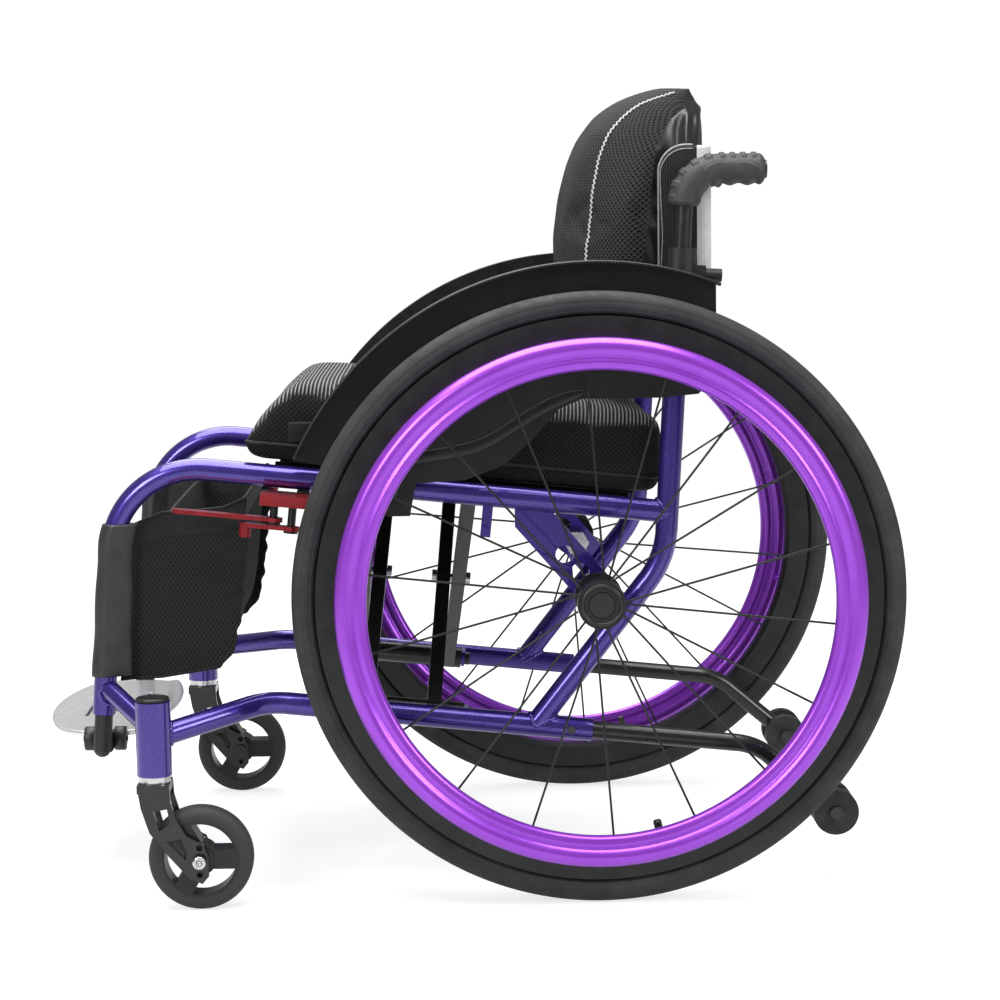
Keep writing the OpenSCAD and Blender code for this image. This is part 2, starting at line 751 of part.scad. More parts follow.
module caster_wheel() {
    rim_inner = caster_d / 2 - caster_tread;
    half = caster_w / 2;
    color("#1c1c1e") translate([head_x - caster_trail, caster_y, caster_z]) difference() {
        union() {
            across_y(caster_edge_r - half, half - caster_edge_r, caster_d / 2);
            across_y(-half, half, caster_d / 2 - caster_edge_r);
            spun() for (side = [-1, 1])
                translate([caster_d / 2 - caster_edge_r, side * (half - caster_edge_r)]) circle(caster_edge_r);
            across_y(-half - caster_hub_side, half + caster_hub_side, caster_hub_d / 2);
        }
        across_y(-caster_w, caster_w, caster_axle_d / 2 + run_gap);
        for (i = [0:2]) rotate([0, 120 * i, 0]) translate([0, caster_w, 0]) rotate([90, 0, 0])
            linear_extrude(2 * caster_w) intersection() {
                ring(rim_inner, caster_hub_d / 2 + caster_window_round / 2);
                polygon([
                    [caster_spoke_w, 0],
                    [caster_d, tan(60) * (caster_d - caster_spoke_w)],
                    [caster_d, -tan(60) * (caster_d - caster_spoke_w)]]);
            }
    }
}

// Folding brace. The left one hinges at the left lower rail and carries the right seat rail
seat_rail_rear = -10;
bolt_head_t = 5;
brace_head_d = 14;
inner_x = inner_upright_step / 2;
outer_x = inner_x + upright_w + upright_gap;
pivot_tube_len = 2 * (bracket_x - rest_gap);

module brace_arm(upright_x) {
    pin_half = bracket_x + bracket_t + rest_gap;
    tilted() difference() {
        union() {
            translate([brace_x, pivot_y, 0]) {
                across_x(-pivot_tube_len / 2, pivot_tube_len / 2, pivot_tube_d / 2);
                across_x(-pin_half - bolt_head_t, pin_half + bolt_head_t, brace_bolt_d / 2);
                for (side = [-1, 1]) translate([side * (pin_half + bolt_head_t / 2), 0, 0])
                    across_x(-bolt_head_t / 2, bolt_head_t / 2, brace_head_d / 2);
                for (side = [-1, 1]) rotate([180 - brace_angle, 0, 0])
                    translate([side * upright_x - upright_w / 2, 0, -upright_d / 2])
                        cube([upright_w, brace_len, upright_d]);
            }
            translate([0, -pivot_y, seat_rail_h])
                across_x(seat_rail_rear, seat_rail_rear + seat_rail_len, seat_rail_r);
        }
        translate([brace_x, 0, seat_rail_h / 2])
            across_x(-pivot_tube_len, pivot_tube_len, brace_bolt_d / 2 + run_gap);
    }
}

module brace_left() color("#131314") brace_arm(inner_x);
module brace_right() color("#2a2a2c") brace_arm(outer_x);

module brace_bolts() {
    half = (2 * upright_w + upright_gap) / 2 + rest_gap;
    middle = (inner_x + outer_x) / 2;
    color("#1f1f20") tilted() translate([brace_x, 0, seat_rail_h / 2]) for (side = [-1, 1])
        translate([side * middle, 0, 0]) {
            across_x(-half - bolt_head_t, half + bolt_head_t, brace_bolt_d / 2);
            for (end = [-1, 1]) translate([end * (half + bolt_head_t / 2), 0, 0])
                across_x(-bolt_head_t / 2, bolt_head_t / 2, brace_head_d / 2);
        }
}

// Seat: cloth over the two rails, and a crowned cushion with a slanted front on top
sling_t = 2;
sling_side = 8;
sling_z = seat_rail_h + seat_rail_r + rest_gap;
cushion_rear = -44;
cushion_pull = 7;
cushion_rear_pull = 24;
cushion_seam = 16;
cushion_side_power = 60;
cushion_end_power = 24;
cushion_steps = 16;

module seat_sling() {
    color("#101011") tilted()
        block([seat_rail_rear, -pivot_y - sling_side, sling_z],
            [seat_rail_rear + seat_rail_len, pivot_y + sling_side, sling_z + sling_t]);
}

function crown(u, v) = (1 - pow(u, 8)) * (1 - pow(v, 6));
function drawn(u) = cushion_pull * (1 - u * u);
function span(k) = sin(180 * k / cushion_steps - 90);
function rounded(t, power) = sqrt(max(0, 1 - pow(abs(t), power)));

module seat_cushion() {
    base_z = sling_z + sling_t + 2 * rest_gap;
    half_w = cushion_w / 2;
    function row_x(u, v, slant) = cushion_rear + (u + 1) / 2 * (cushion_len - slant) - u * drawn(v) / 2;
    function row_y(u, v) = v * (half_w - drawn(u) - cushion_rear_pull * pow(max(0, -u), 12));
    function edge(u, v) = rounded(u, cushion_end_power) * rounded(v, cushion_side_power);
    seam_z = base_z + cushion_seam;
    color("#1d1d1f") tilted() soft_form(
        [for (i = [0:cushion_steps]) [for (j = [0:cushion_steps]) let (u = span(i), v = span(j))
            [row_x(u, v, cushion_slant * edge(0, v) * edge(u, 0)), row_y(u, v),
                seam_z + (cushion_side_h - cushion_seam) * edge(u, v) + cushion_crown * crown(u, v)]]],
        [for (i = [0:cushion_steps]) [for (j = [0:cushion_steps]) let (u = span(i), v = span(j))
            [row_x(u, v, 0), row_y(u, v), seam_z - rest_gap - cushion_seam * edge(u, v)]]]);
}

// Back: a crowned pad, and behind it the sling that wraps forward beside the canes
pad_front_shares = [[0, 0.42], [0.08, 0.66], [0.2, 0.9], [0.36, 1.03], [0.5, 1.03], [0.66, 0.97], [0.77, 0.9],
    [0.85, 0.8], [0.91, 0.64], [0.95, 0.49], [0.972, 0.32], [0.99, 0.15], [1, -0.12]];
pad_rear_shares = [[0, 0.08], [0.25, -0.1], [0.5, -0.2], [0.68, -0.245], [0.84, -0.26], [0.92, -0.25],
    [0.955, -0.22], [0.98, -0.17], [1, -0.12]];
pad_side_share = 0.42;
pad_round_share = 0.12;
pad_rear_x = -87;
pad_rest_share = 0.257;
back_sling_front = 26;
back_sling_gap = 6;
sling_loop_wall = 3;
sling_loop_h = 20;
sling_loop_low = 117;
sling_loop_high = 186;
pad_edge_power = 8;
pad_end_power = 24;
back_sling_round = 26;

module back_pad() {
    half_w = frame_y - back_pad_inset;
    base_z = back_pad_top_z - back_pad_h;
    function front_x(h) = pad_rear_x + back_pad_t * lookup(h, pad_front_shares);
    function rear_x(h) = pad_rear_x + back_pad_t * lookup(h, pad_rear_shares);
    function row_y(h, v) = v * half_w * (1 - pow(abs(2 * h - 1), 6) * pad_round_share);
    function mid_x(h) = mix(rear_x(h), front_x(h), pad_side_share);
    function edge(h, v) = rounded(v, pad_edge_power) * rounded(2 * h - 1, pad_end_power);
    color("#1d1d1f") soft_form(
        [for (i = [0:cushion_steps]) [for (j = [0:cushion_steps]) let (h = (1 + span(i)) / 2, v = span(j))
            [mix(mid_x(h), front_x(h), edge(h, v)), row_y(h, v), base_z + h * back_pad_h]]],
        [for (i = [0:cushion_steps]) [for (j = [0:cushion_steps]) let (h = (1 + span(i)) / 2, v = span(j))
            [mix(mid_x(h), rear_x(h), edge(h, v)) - rest_gap, row_y(h, v), base_z + h * back_pad_h]]]);
}

module back_sling() {
    outer_y = frame_y - tube_r - back_sling_gap;
    top = back_sling_top_z;
    low = top - back_sling_h;
    panel_low = top - back_panel_h;
    rear_x = pad_rear_x - back_pad_t * pad_rest_share - rest_gap;
    function cane_x(z) = meet(cane_foot, cane_dir, [0, z], [1, 0])[0];
    front_x = cane_x(top) + back_sling_front;
    loop_r = tube_r + rest_gap + sling_loop_wall;
    color("#161617") difference() {
        union() {
            block([rear_x - back_sling_t, -outer_y, panel_low], [rear_x, outer_y, top]);
            for (side = [-1, 1]) {
                translate([0, side * (outer_y - back_sling_t / 2) + back_sling_t / 2, 0]) rotate([90, 0, 0])
                    linear_extrude(back_sling_t) {
                        polygon([
                            [rear_x - back_sling_t, panel_low], [rear_x - back_sling_t, top],
                            [front_x - back_sling_round, top],
                            [front_x - back_sling_round, top - back_sling_round],
                            [front_x, top - back_sling_round],
                            [front_x, low], [cane_x(low) - loop_r / 2, low],
                            [cane_x(panel_low) - loop_r / 2, panel_low]]);
                        translate([front_x - back_sling_round, top - back_sling_round])
                            circle(back_sling_round);
                    }
                for (rise = [sling_loop_low, sling_loop_high]) {
                    p = cane_foot + cane_dir * rise;
                    q = p + cane_dir * sling_loop_h;
                    rod(in_side(side > 0 ? p : q, side * frame_y), in_side(side > 0 ? q : p, side * frame_y), loop_r);
                    translate([0, side * (outer_y + frame_y) / 2, 0])
                        block([p[0] - loop_r / 2, -(frame_y - outer_y) / 2 - cut, p[1]],
                            [p[0] + loop_r / 2, (frame_y - outer_y) / 2, q[1]]);
                }
            }
        }
        for (side = [-1, 1])
            rod(in_side(side > 0 ? cane_corner : cane_top, side * frame_y),
                in_side(side > 0 ? cane_top : cane_corner, side * frame_y), tube_r + rest_gap);
    }
}

// Push handle: a bent tube that slides in the cane, its grip, and the clamp on the cane with its knob
handle_engage = 66;
grip_end = 6;
grip_start = handle_rise - handle_bend_r;
clamp_lip = 2;
knob_rise = 15;
knob_stem_d = 6;
knob_boss_w = 16;
knob_boss_h = 18;
knob_boss_reach = 9;
knob_stem_len = 8;
handle_low = cane_top - cane_dir * handle_engage;
handle_corner = meet(cane_foot, cane_dir, [0, handle_z], [1, 0]);
handle_end = handle_corner - [handle_reach, 0];

module handle_tube() {
    low = in_side(handle_low);
    end = in_side(handle_end);
    color("#1a1a1c") difference() {
        bent_rod(low, in_side(handle_corner), end, handle_bend_r, inner_tube_r);
        bent_rod(low, in_side(handle_corner), end, handle_bend_r, inner_tube_r - inner_tube_wall, cut, cut);
    }
}

module grip() {
    low = in_side(cane_top + cane_dir * grip_start);
    end = in_side(handle_end);
    color("#2b2b2d") difference() {
        bent_rod(low, in_side(handle_corner), end, handle_bend_r, grip_d / 2, 0, grip_end);
        bent_rod(low, in_side(handle_corner), end, handle_bend_r, inner_tube_r + slide_gap, cut, rest_gap);
    }
}

knob_z = knob_rise - handle_clamp_h;

module handle_clamp() {
    low = clamp_lip - handle_clamp_h;
    boss = handle_clamp_d / 2 + knob_boss_reach;
    color("#161618") along(in_side(cane_top), in_side(cane_dir, 0)) difference() {
        union() {
            translate([0, 0, low]) cylinder(d = handle_clamp_d, h = handle_clamp_h);
            rotate([0, 0, knob_turn]) block([0, -knob_boss_w / 2, knob_z - knob_boss_h / 2],
                [boss, knob_boss_w / 2, knob_z + knob_boss_h / 2]);
        }
        translate([0, 0, low - cut]) cylinder(r = tube_r + slide_gap, h = cut - low + rest_gap);
        cylinder(r = inner_tube_r + slide_gap, h = handle_clamp_h);
        rotate([0, 0, knob_turn]) translate([0, 0, knob_z])
            across_x(tube_r, boss + cut, knob_stem_d / 2 + run_gap);
    }
}

// Turns the clamp's own x axis to the rear
cane_flank = flank(in_side(cane_dir, 0));
knob_turn = atan2(cross(in_side(cane_dir, 0), cane_flank) * [-1, 0, 0], cane_flank * [-1, 0, 0]);

module clamp_knob() {
    boss = handle_clamp_d / 2 + knob_boss_reach + rest_gap;
    color("#0f0f10") along(in_side(cane_top), in_side(cane_dir, 0)) rotate([0, 0, knob_turn])
        translate([0, 0, knob_z]) {
            across_x(boss - knob_stem_len - rest_gap, boss + cut, knob_stem_d / 2);
            across_x(boss, boss + clamp_knob_len, clamp_knob_d / 2);
        }
}

// Side guard: a panel round the tyre's inside, with a flange over its top, bolted to the seat tube and the cane
guard_r = tyre_r + guard_gap;
guard_y = frame_y + tube_r + guard_stand;
guard_from = 25;
guard_to = 112;
guard_boss_d = 20;
guard_lug_share = 0.6;
guard_stay_share = 0.459;
// Shares of the guard's radius from the axle, along the panel's lower edge from front to rear
guard_edge_shares = [
    [0.84, 0.4], [0.644, 0.351], [0.63, 0.239], [0.56, 0.239], [0.541, 0.337], [0.39, 0.346], [0.273, 0.39],
    [0.185, 0.468], [0.107, 0.556], [0.039, 0.585], [-0.195, 0.585], [-0.312, 0.595], [-0.366, 0.644],
    [-0.366, 1.1], [1.1, 1.1], [1.1, 0.449]];

module side_guard() {
    lug = seat_at(guard_lug_share * guard_r);
    stay = cane_foot + cane_dir * guard_stay_share * guard_r;
    color("#161617") {
        translate([0, guard_y + guard_t, axle_z]) rotate([90, 0, 0]) linear_extrude(guard_t) intersection() {
            circle(guard_r - guard_t / 2, $fn = 180);
            polygon([for (s = guard_edge_shares) s * guard_r]);
        }
        translate([0, guard_y + weld, axle_z]) rotate([-90, 0, 0]) rotate([0, 0, -guard_to])
            rotate_extrude(angle = guard_to - guard_from, $fn = 180)
                translate([guard_r - guard_t, 0]) square([guard_t, guard_t + guard_flange_w - weld]);
        for (p = [lug, stay]) translate([p[0], 0, p[1]])
            across_y(frame_y + tube_r + rest_gap, guard_y + weld, guard_boss_d / 2);
    }
}

// Brake: a bar clamped under the seat tube with two posts, a lever and a shoe arm that turn on them
brake_bar_h = 11;
brake_bar_front = 14;
brake_bar_rear = 32;
brake_bar_in = 10;
brake_bar_out = 32;
brake_bar_gap = 4;
brake_clamp_w = 12;
brake_drop = 12;
brake_level_gap = 0.5;
brake_post_head = 2;
brake_post_head_d = 14;
brake_eye_d = 18;
brake_lever_y = 20;
brake_shoe_y = 24;
brake_shoe_h = 14;
brake_gap = 0.4;
brake_bar_z = rail_gap - tube_r - brake_bar_gap;
brake_lever_z = brake_bar_z - brake_bar_h - brake_drop;
brake_shoe_z = brake_lever_z - brake_plate_t - brake_gap - brake_post_head - brake_level_gap;
brake_lever_at = [brake_x, frame_y + brake_lever_y];
brake_shoe_at = [brake_x - brake_pivot_step, frame_y + brake_shoe_y];

module brake_post(place, plate_z) {
    low = plate_z - brake_plate_t - brake_gap;
    translate([place[0], place[1], low]) cylinder(d = brake_post_d, h = brake_bar_z - brake_bar_h - low + weld);
    translate([place[0], place[1], low - brake_post_head]) cylinder(d = brake_post_head_d, h = brake_post_head);
}

module brake_mount() {
    color("#8e1420") tilted() {
        block([brake_x - brake_bar_rear, frame_y - brake_bar_in, brake_bar_z - brake_bar_h],
            [brake_x + brake_bar_front, frame_y + brake_bar_out, brake_bar_z]);
        block([brake_x - brake_bar_rear, frame_y - brake_bar_in, brake_bar_z - weld],
            [brake_x - brake_bar_rear + brake_clamp_w, frame_y + brake_bar_in, rail_gap - tube_r - rest_gap]);
        brake_post(brake_lever_at, brake_lever_z);
        brake_post(brake_shoe_at, brake_shoe_z);
    }
}

module brake_link(place, plate_z, length, width) {
    translate([place[0], place[1], plate_z - brake_plate_t]) {
        cylinder(d = brake_eye_d, h = brake_plate_t);
        block([0, -width / 2, 0], [length, width / 2, brake_plate_t]);
        translate([length, 0, 0]) cylinder(d = width, h = brake_plate_t);
    }
}

module post_hole(place, plate_z) {
    translate([place[0], place[1], plate_z - brake_plate_t - cut])
        cylinder(r = brake_post_d / 2 + run_gap, h = brake_plate_t + 2 * cut);
}

module brake_lever() {
    color("#b3202c") tilted() difference() {
        brake_link(brake_lever_at, brake_lever_z, brake_lever_len, brake_lever_w);
        post_hole(brake_lever_at, brake_lever_z);
    }
}

module brake_shoe() {
    color("#8e1420") tilted() difference() {
        union() {
            brake_link(brake_shoe_at, brake_shoe_z, brake_shoe_len, brake_lever_w);
            translate([brake_shoe_at[0] + brake_shoe_len, brake_shoe_at[1], brake_shoe_z - brake_shoe_h])
                cylinder(d = brake_shoe_d, h = brake_shoe_h);
        }
        post_hole(brake_shoe_at, brake_shoe_z);
    }
}

// Anti-tip support: a bent tube that turns in the lower rail's rear end, with two small wheels
anti_tip_engage = 60;
groove_w = 14;
groove_depth = 2;
anti_tip_axle_d = 8;
anti_tip_head_d = 13;
anti_tip_head_h = 4;
anti_tip_eye_d = 21;
anti_tip_solid_share = 0.25;
anti_tip_side_gap = 1.5;
rail_rear = lower_at(lower_rail_rear);
anti_tip_corner = rail_rear - rail_dir * anti_tip_run;
anti_tip_axle = anti_tip_corner - heading(frame_tilt + anti_tip_bend) * anti_tip_drop;
anti_tip_wheel_y = inner_tube_r + anti_tip_side_gap;

module anti_tip_tube() {
    groove = rail_rear + rail_dir * snap_button_x;
    front = in_side(rail_rear + rail_dir * anti_tip_engage);
    end = in_side(anti_tip_axle);
    bend_to = in_side(anti_tip_corner);
    half = anti_tip_wheel_y + anti_tip_wheel_w + anti_tip_side_gap / 2;
    color("#141416") difference() {
        union() {
            bent_rod(front, bend_to, end, anti_tip_bend_r, inner_tube_r);
            translate(end) {
                across_y(-anti_tip_wheel_y + rest_gap, anti_tip_wheel_y - rest_gap, anti_tip_eye_d / 2);
                across_y(-half - anti_tip_head_h, half + anti_tip_head_h, anti_tip_axle_d / 2);
                for (side = [-1, 1]) translate([0, side * (half + anti_tip_head_h / 2), 0])
                    across_y(-anti_tip_head_h / 2, anti_tip_head_h / 2, anti_tip_head_d / 2);
            }
        }
        bent_rod(front, bend_to, mix(end, bend_to, anti_tip_solid_share), anti_tip_bend_r,
            inner_tube_r - groove_depth - inner_tube_wall, cut);
        difference() {
            rod(in_side(groove - rail_dir * groove_w / 2), in_side(groove + rail_dir * groove_w / 2), tube_d);
            rod(in_side(groove - rail_dir * groove_w), in_side(groove + rail_dir * groove_w),
                inner_tube_r - groove_depth);
        }
    }
}

module anti_tip_wheels() {
    color("#1a1a1b") translate(in_side(anti_tip_axle)) for (side = [-1, 1])
        translate([0, side * (anti_tip_wheel_y + anti_tip_wheel_w / 2), 0]) difference() {
            across_y(-anti_tip_wheel_w / 2, anti_tip_wheel_w / 2, anti_tip_wheel_d / 2);
            across_y(-anti_tip_wheel_w, anti_tip_wheel_w, anti_tip_axle_d / 2 + run_gap);
        }
}

snap_proud = 1.8;

module snap_button() {
    color("#56565a") translate(in_side(lower_at(lower_rail_rear + snap_button_x)))
        across_y(bore_r, tube_r + snap_proud, snap_button_d / 2);
}

// Footplate: one plate between the legs, with two ears round the hinge's lug and an upturned heel
ear_r = 12;
plate_near_gap = 20;
plate_near_share = 0.42;
heel_h = 8;
heel_t = 3;
slot_w = 6;
slot_len = 120;
slot_step = 26;

module footplate() {
    near = hinge_y - plate_near_gap;
    half_len = (near - footplate_end) / 2;
    mid_y = (near + footplate_end) / 2;
    heel_x = footplate_front - footplate_depth;
    toe_sag = (footplate_front - hinge_x) * plate_near_share;
    heel_sag = (hinge_x - heel_x) * plate_near_share;
    toe_r = (half_len * half_len + toe_sag * toe_sag) / (2 * toe_sag);
    heel_r = (half_len * half_len + heel_sag * heel_sag) / (2 * heel_sag);
    slot_mid = (footplate_front + heel_x) / 2;
    color("silver") difference() {
        union() {
            translate([0, 0, footplate_hinge_z - footplate_t / 2]) linear_extrude(footplate_t) intersection() {
                translate([footplate_front - toe_r, mid_y]) circle(toe_r, $fn = 180);
                translate([heel_x + heel_r, mid_y]) circle(heel_r, $fn = 180);
                translate([heel_x, footplate_end]) square([footplate_depth, 2 * half_len]);
            }
            translate([0, 0, footplate_hinge_z]) linear_extrude(heel_h) intersection() {
                translate([heel_x + heel_r, mid_y]) ring(heel_r, heel_r - heel_t, $fn = 180);
                translate([heel_x - cut, mid_y - slot_len]) square([footplate_depth / 2, 2 * slot_len]);
            }
            for (side = [-1, 1]) {
                x = hinge_x + side * (lug_w / 2 + rest_gap + ear_t / 2);
                block([x - ear_t / 2, near - plate_near_gap, footplate_hinge_z - footplate_t / 2],
                    [x + ear_t / 2, hinge_y, footplate_hinge_z + footplate_t / 2]);
                translate([0, hinge_y, footplate_hinge_z]) across_x(x - ear_t / 2, x + ear_t / 2, ear_r);
            }
        }
        translate([0, hinge_y, footplate_hinge_z])
            across_x(hinge_x - lug_w - ear_t, hinge_x + lug_w + ear_t, hinge_pin_d / 2 + run_gap);
        for (k = [0:footplate_slots - 1]) {
            x = slot_mid + (k - (footplate_slots - 1) / 2) * slot_step;
            block([x - slot_w / 2, mid_y - slot_len / 2, footplate_hinge_z - footplate_t],
                [x + slot_w / 2, mid_y + slot_len / 2, footplate_hinge_z + footplate_t]);
        }
    }
}

// Calf bag: an open pouch behind the footplate's sweep, with a wing on each side to a sleeve round the leg
bag_rise = 89;
bag_front_gap = 5;
bag_lap = 0.5;
sleeve_wall = 3;
sleeve_low = 40;
sleeve_len = 118;
bag_taper_share = 0.86;
wing_rise = 2;

module calf_bag() {
    bag_top = axle_z + bag_rise;
    front = footplate_front - footplate_depth - bag_front_gap;
    base = bag_top - bag_h;
    half = frame_y - tube_r - rest_gap - bag_lap;
    rear = leg_at(bag_top)[0] - bag_front_gap - bag_depth;
    shrink = (1 - bag_taper_share) * bag_depth;
    low = leg_foot - leg_dir * sleeve_low;
    color("#121213") difference() {
        union() {
            translate([0, half, 0]) rotate([90, 0, 0]) linear_extrude(2 * half) polygon([
                [front, base], [front, bag_top], [rear, bag_top], [rear + shrink, base]]);
            for (side = [-1, 1]) {
                translate([0, side * (half - bag_wall / 2) + bag_wall / 2, 0]) rotate([90, 0, 0])
                    linear_extrude(bag_wall) polygon([
                        [front - bag_wall, base + wing_rise], leg_at(base + wing_rise),
                        leg_at(bag_top - wing_rise), [front - bag_wall, bag_top - wing_rise]]);
                rod(in_side(low, side * frame_y), in_side(low - leg_dir * sleeve_len, side * frame_y),
                    tube_r + rest_gap + sleeve_wall);
            }
        }
        translate([0, half - bag_wall, 0]) rotate([90, 0, 0]) linear_extrude(2 * (half - bag_wall)) polygon([
            [front - bag_wall, base + bag_wall], [front - bag_wall, bag_top + cut],
            [rear + bag_wall, bag_top + cut], [rear + shrink + bag_wall, base + bag_wall]]);
        for (side = [-1, 1]) bent_rod(in_side(cane_foot, side * frame_y), in_side(corner, side * frame_y),
            in_side(leg_foot, side * frame_y), corner_bend_r, tube_r + rest_gap, 0, cut);
    }
}

left_side() tyre();  // tyre_left
right_side() tyre();  // tyre_right
left_side() rim();  // rim_left
right_side() rim();  // rim_right
left_side() spokes();  // spokes_left
right_side() spokes();  // spokes_right
left_side() hub();  // hub_left
right_side() hub();  // hub_right
left_side() handrim();  // handrim_left
right_side() handrim();  // handrim_right
left_side() axle_rod();  // axle_left
right_side() axle_rod();  // axle_right
left_side() axle_button();  // axle_button_left
right_side() axle_button();  // axle_button_right
left_side() side_tube();  // side_tube_left
right_side() side_tube();  // side_tube_right
left_side() lower_rail();  // lower_rail_left
right_side() lower_rail();  // lower_rail_right
left_side() back_cane();  // back_cane_left
right_side() back_cane();  // back_cane_right
left_side() axle_plate();  // axle_plate_left
right_side() axle_plate();  // axle_plate_right
left_side() leg_insert_left();
right_side() leg_insert_right();
left_side() caster_fork();  // caster_fork_left
right_side() caster_fork();  // caster_fork_right
left_side() caster_wheel();  // caster_wheel_left
right_side() caster_wheel();  // caster_wheel_right
left_side() brace_left();
right_side() brace_right();
left_side() brace_bolts();
left_side() seat_sling();
left_side() seat_cushion();
left_side() back_pad();
left_side() back_sling();
left_side() handle_tube();  // handle_tube_left
right_side() handle_tube();  // handle_tube_right
left_side() grip();  // grip_left
right_side() grip();  // grip_right
left_side() handle_clamp();  // handle_clamp_left
right_side() handle_clamp();  // handle_clamp_right
left_side() clamp_knob();  // clamp_knob_left
right_side() clamp_knob();  // clamp_knob_right
left_side() side_guard();  // side_guard_left
right_side() side_guard();  // side_guard_right
left_side() brake_mount();  // brake_mount_left
right_side() brake_mount();  // brake_mount_right
left_side() brake_lever();  // brake_lever_left
right_side() brake_lever();  // brake_lever_right
left_side() brake_shoe();  // brake_shoe_left
right_side() brake_shoe();  // brake_shoe_right
left_side() anti_tip_tube();  // anti_tip_tube_left
right_side() anti_tip_tube();  // anti_tip_tube_right
left_side() anti_tip_wheels();  // anti_tip_wheels_left
right_side() anti_tip_wheels();  // anti_tip_wheels_right
left_side() snap_button();  // snap_button_left
right_side() snap_button();  // snap_button_right
left_side() footplate();
left_side() calf_bag();
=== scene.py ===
"""A folding sports wheelchair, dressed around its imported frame. All lengths end up in metres."""

import bmesh
import bpy
import numpy as np
from mathutils import Matrix


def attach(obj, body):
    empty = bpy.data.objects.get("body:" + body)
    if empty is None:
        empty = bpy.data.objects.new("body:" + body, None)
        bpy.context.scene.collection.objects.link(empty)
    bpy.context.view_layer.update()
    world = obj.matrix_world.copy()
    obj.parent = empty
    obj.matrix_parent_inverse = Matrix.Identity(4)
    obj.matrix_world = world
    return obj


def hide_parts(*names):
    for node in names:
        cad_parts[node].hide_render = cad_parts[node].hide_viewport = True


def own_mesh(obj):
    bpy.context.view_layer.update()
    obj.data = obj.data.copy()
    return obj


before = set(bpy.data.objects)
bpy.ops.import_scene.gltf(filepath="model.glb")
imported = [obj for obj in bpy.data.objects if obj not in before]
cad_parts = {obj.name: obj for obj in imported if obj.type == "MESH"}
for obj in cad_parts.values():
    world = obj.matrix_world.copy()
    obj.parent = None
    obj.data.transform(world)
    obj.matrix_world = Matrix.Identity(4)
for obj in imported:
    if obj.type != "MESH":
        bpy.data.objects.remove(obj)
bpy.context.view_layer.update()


# The room: a pale floor that runs far back, a white sky and large soft lights.
# The camera stands off the chair's left side, a little above the seat, and looks slightly down.
MID_X = 133.5


def row(points):
    """Millimetres measured from under the rear axle, to metres in the shared frame: x less MID_X, times 0.001."""
    return (np.asarray(points, float) - (MID_X, 0.0, 0.0)) * 0.001


def stacked(*coordinates):
    """Points from their coordinates, each an array or a number."""
    return np.stack(np.broadcast_arrays(*coordinates), -1)


def swung(v, axis, angle):
    """Turns v about a unit axis: v cos + (axis x v) sin + axis (axis . v)(1 - cos)."""
    return v * np.cos(angle) + np.cross(axis, v) * np.sin(angle) + axis * (axis @ v) * (1 - np.cos(angle))


def stand(right, up, back, place):
    """The matrix of something with these three axes that stands at this place."""
    turn = np.eye(4)
    turn[:3] = stacked(right, up, back, place)
    return Matrix(turn.tolist())


def look_from(eye, yaw, pitch, roll):
    """The camera's matrix: it faces -Y, then turns by yaw about up, by pitch about its right and by roll about its
    view."""
    ahead, right, up = np.array([0.0, -1, 0]), np.array([-1.0, 0, 0]), np.array([0.0, 0, 1])
    ahead, right = swung(ahead, up, yaw), swung(right, up, yaw)
    up, ahead = swung(up, right, -pitch), swung(ahead, right, -pitch)
    right, up = swung(right, ahead, roll), swung(up, ahead, roll)
    return stand(right, up, -ahead, eye)


SENSOR, FOCAL_SHARE, EYE = 36, 2.5422, (145.71, 2658.68, 668.86)
camera = bpy.data.objects.new("camera", bpy.data.cameras.new("camera"))
camera.data.sensor_width, camera.data.lens, camera.data.clip_end = SENSOR, FOCAL_SHARE * SENSOR, 200
bpy.context.scene.collection.objects.link(camera)
camera.matrix_world = look_from(row(EYE), yaw=-0.0214, pitch=0.1144, roll=0.0134)
bpy.context.scene.camera = camera

bpy.context.scene.view_settings.view_transform = "Standard"
world = bpy.data.worlds.new("white_studio")
bpy.context.scene.world = world
world.use_nodes = True
world.node_tree.nodes["Background"].inputs["Color"].default_value = (1, 1, 1, 1)
SKY_GLOW, SEEN_GLOW = 0.23, 0.79
seen = world.node_tree.nodes.new("ShaderNodeLightPath").outputs["Is Camera Ray"]
glow = world.node_tree.nodes.new("ShaderNodeMath")
glow.operation = "MULTIPLY_ADD"
glow.inputs[1].default_value, glow.inputs[2].default_value = SEEN_GLOW, SKY_GLOW
world.node_tree.links.new(seen, glow.inputs[0])
world.node_tree.links.new(glow.outputs[0], world.node_tree.nodes["Background"].inputs["Strength"])
for name, place, size, watts in (
    ("sky_panel", (0.2, 0.3, 2.5), 2.4, 100), ("key_panel", (1.7, 2.5, 1.6), 1.0, 34),
    ("rear_panel", (-2.1, 1.5, 1.4), 1.0, 24), ("far_panel", (0.5, -1.9, 2.7), 1.6, 34),
):
    lamp = bpy.data.objects.new(name, bpy.data.lights.new(name, "AREA"))
    lamp.data.size, lamp.data.energy = size, watts
    bpy.context.scene.collection.objects.link(lamp)
    aim = np.array([0, 0, 0.35]) - np.array(place)
    aim /= np.linalg.norm(aim)
    side = np.cross(aim, (0.0, 1, 0) if abs(aim[2]) > 0.9 else (0.0, 0, 1))
    side /= np.linalg.norm(side)
    lamp.matrix_world = stand(side, np.cross(side, aim), -aim, place)


def finish(name, **sockets):
    """A new Principled material with these constant sockets; an underscore in a name stands for a space."""
    mat = bpy.data.materials.new(name)
    mat.use_nodes = True
    shader = mat.node_tree.nodes["Principled BSDF"]
    for key, value in sockets.items():
        shader.inputs[key.replace("_", " ")].default_value = value
    return mat


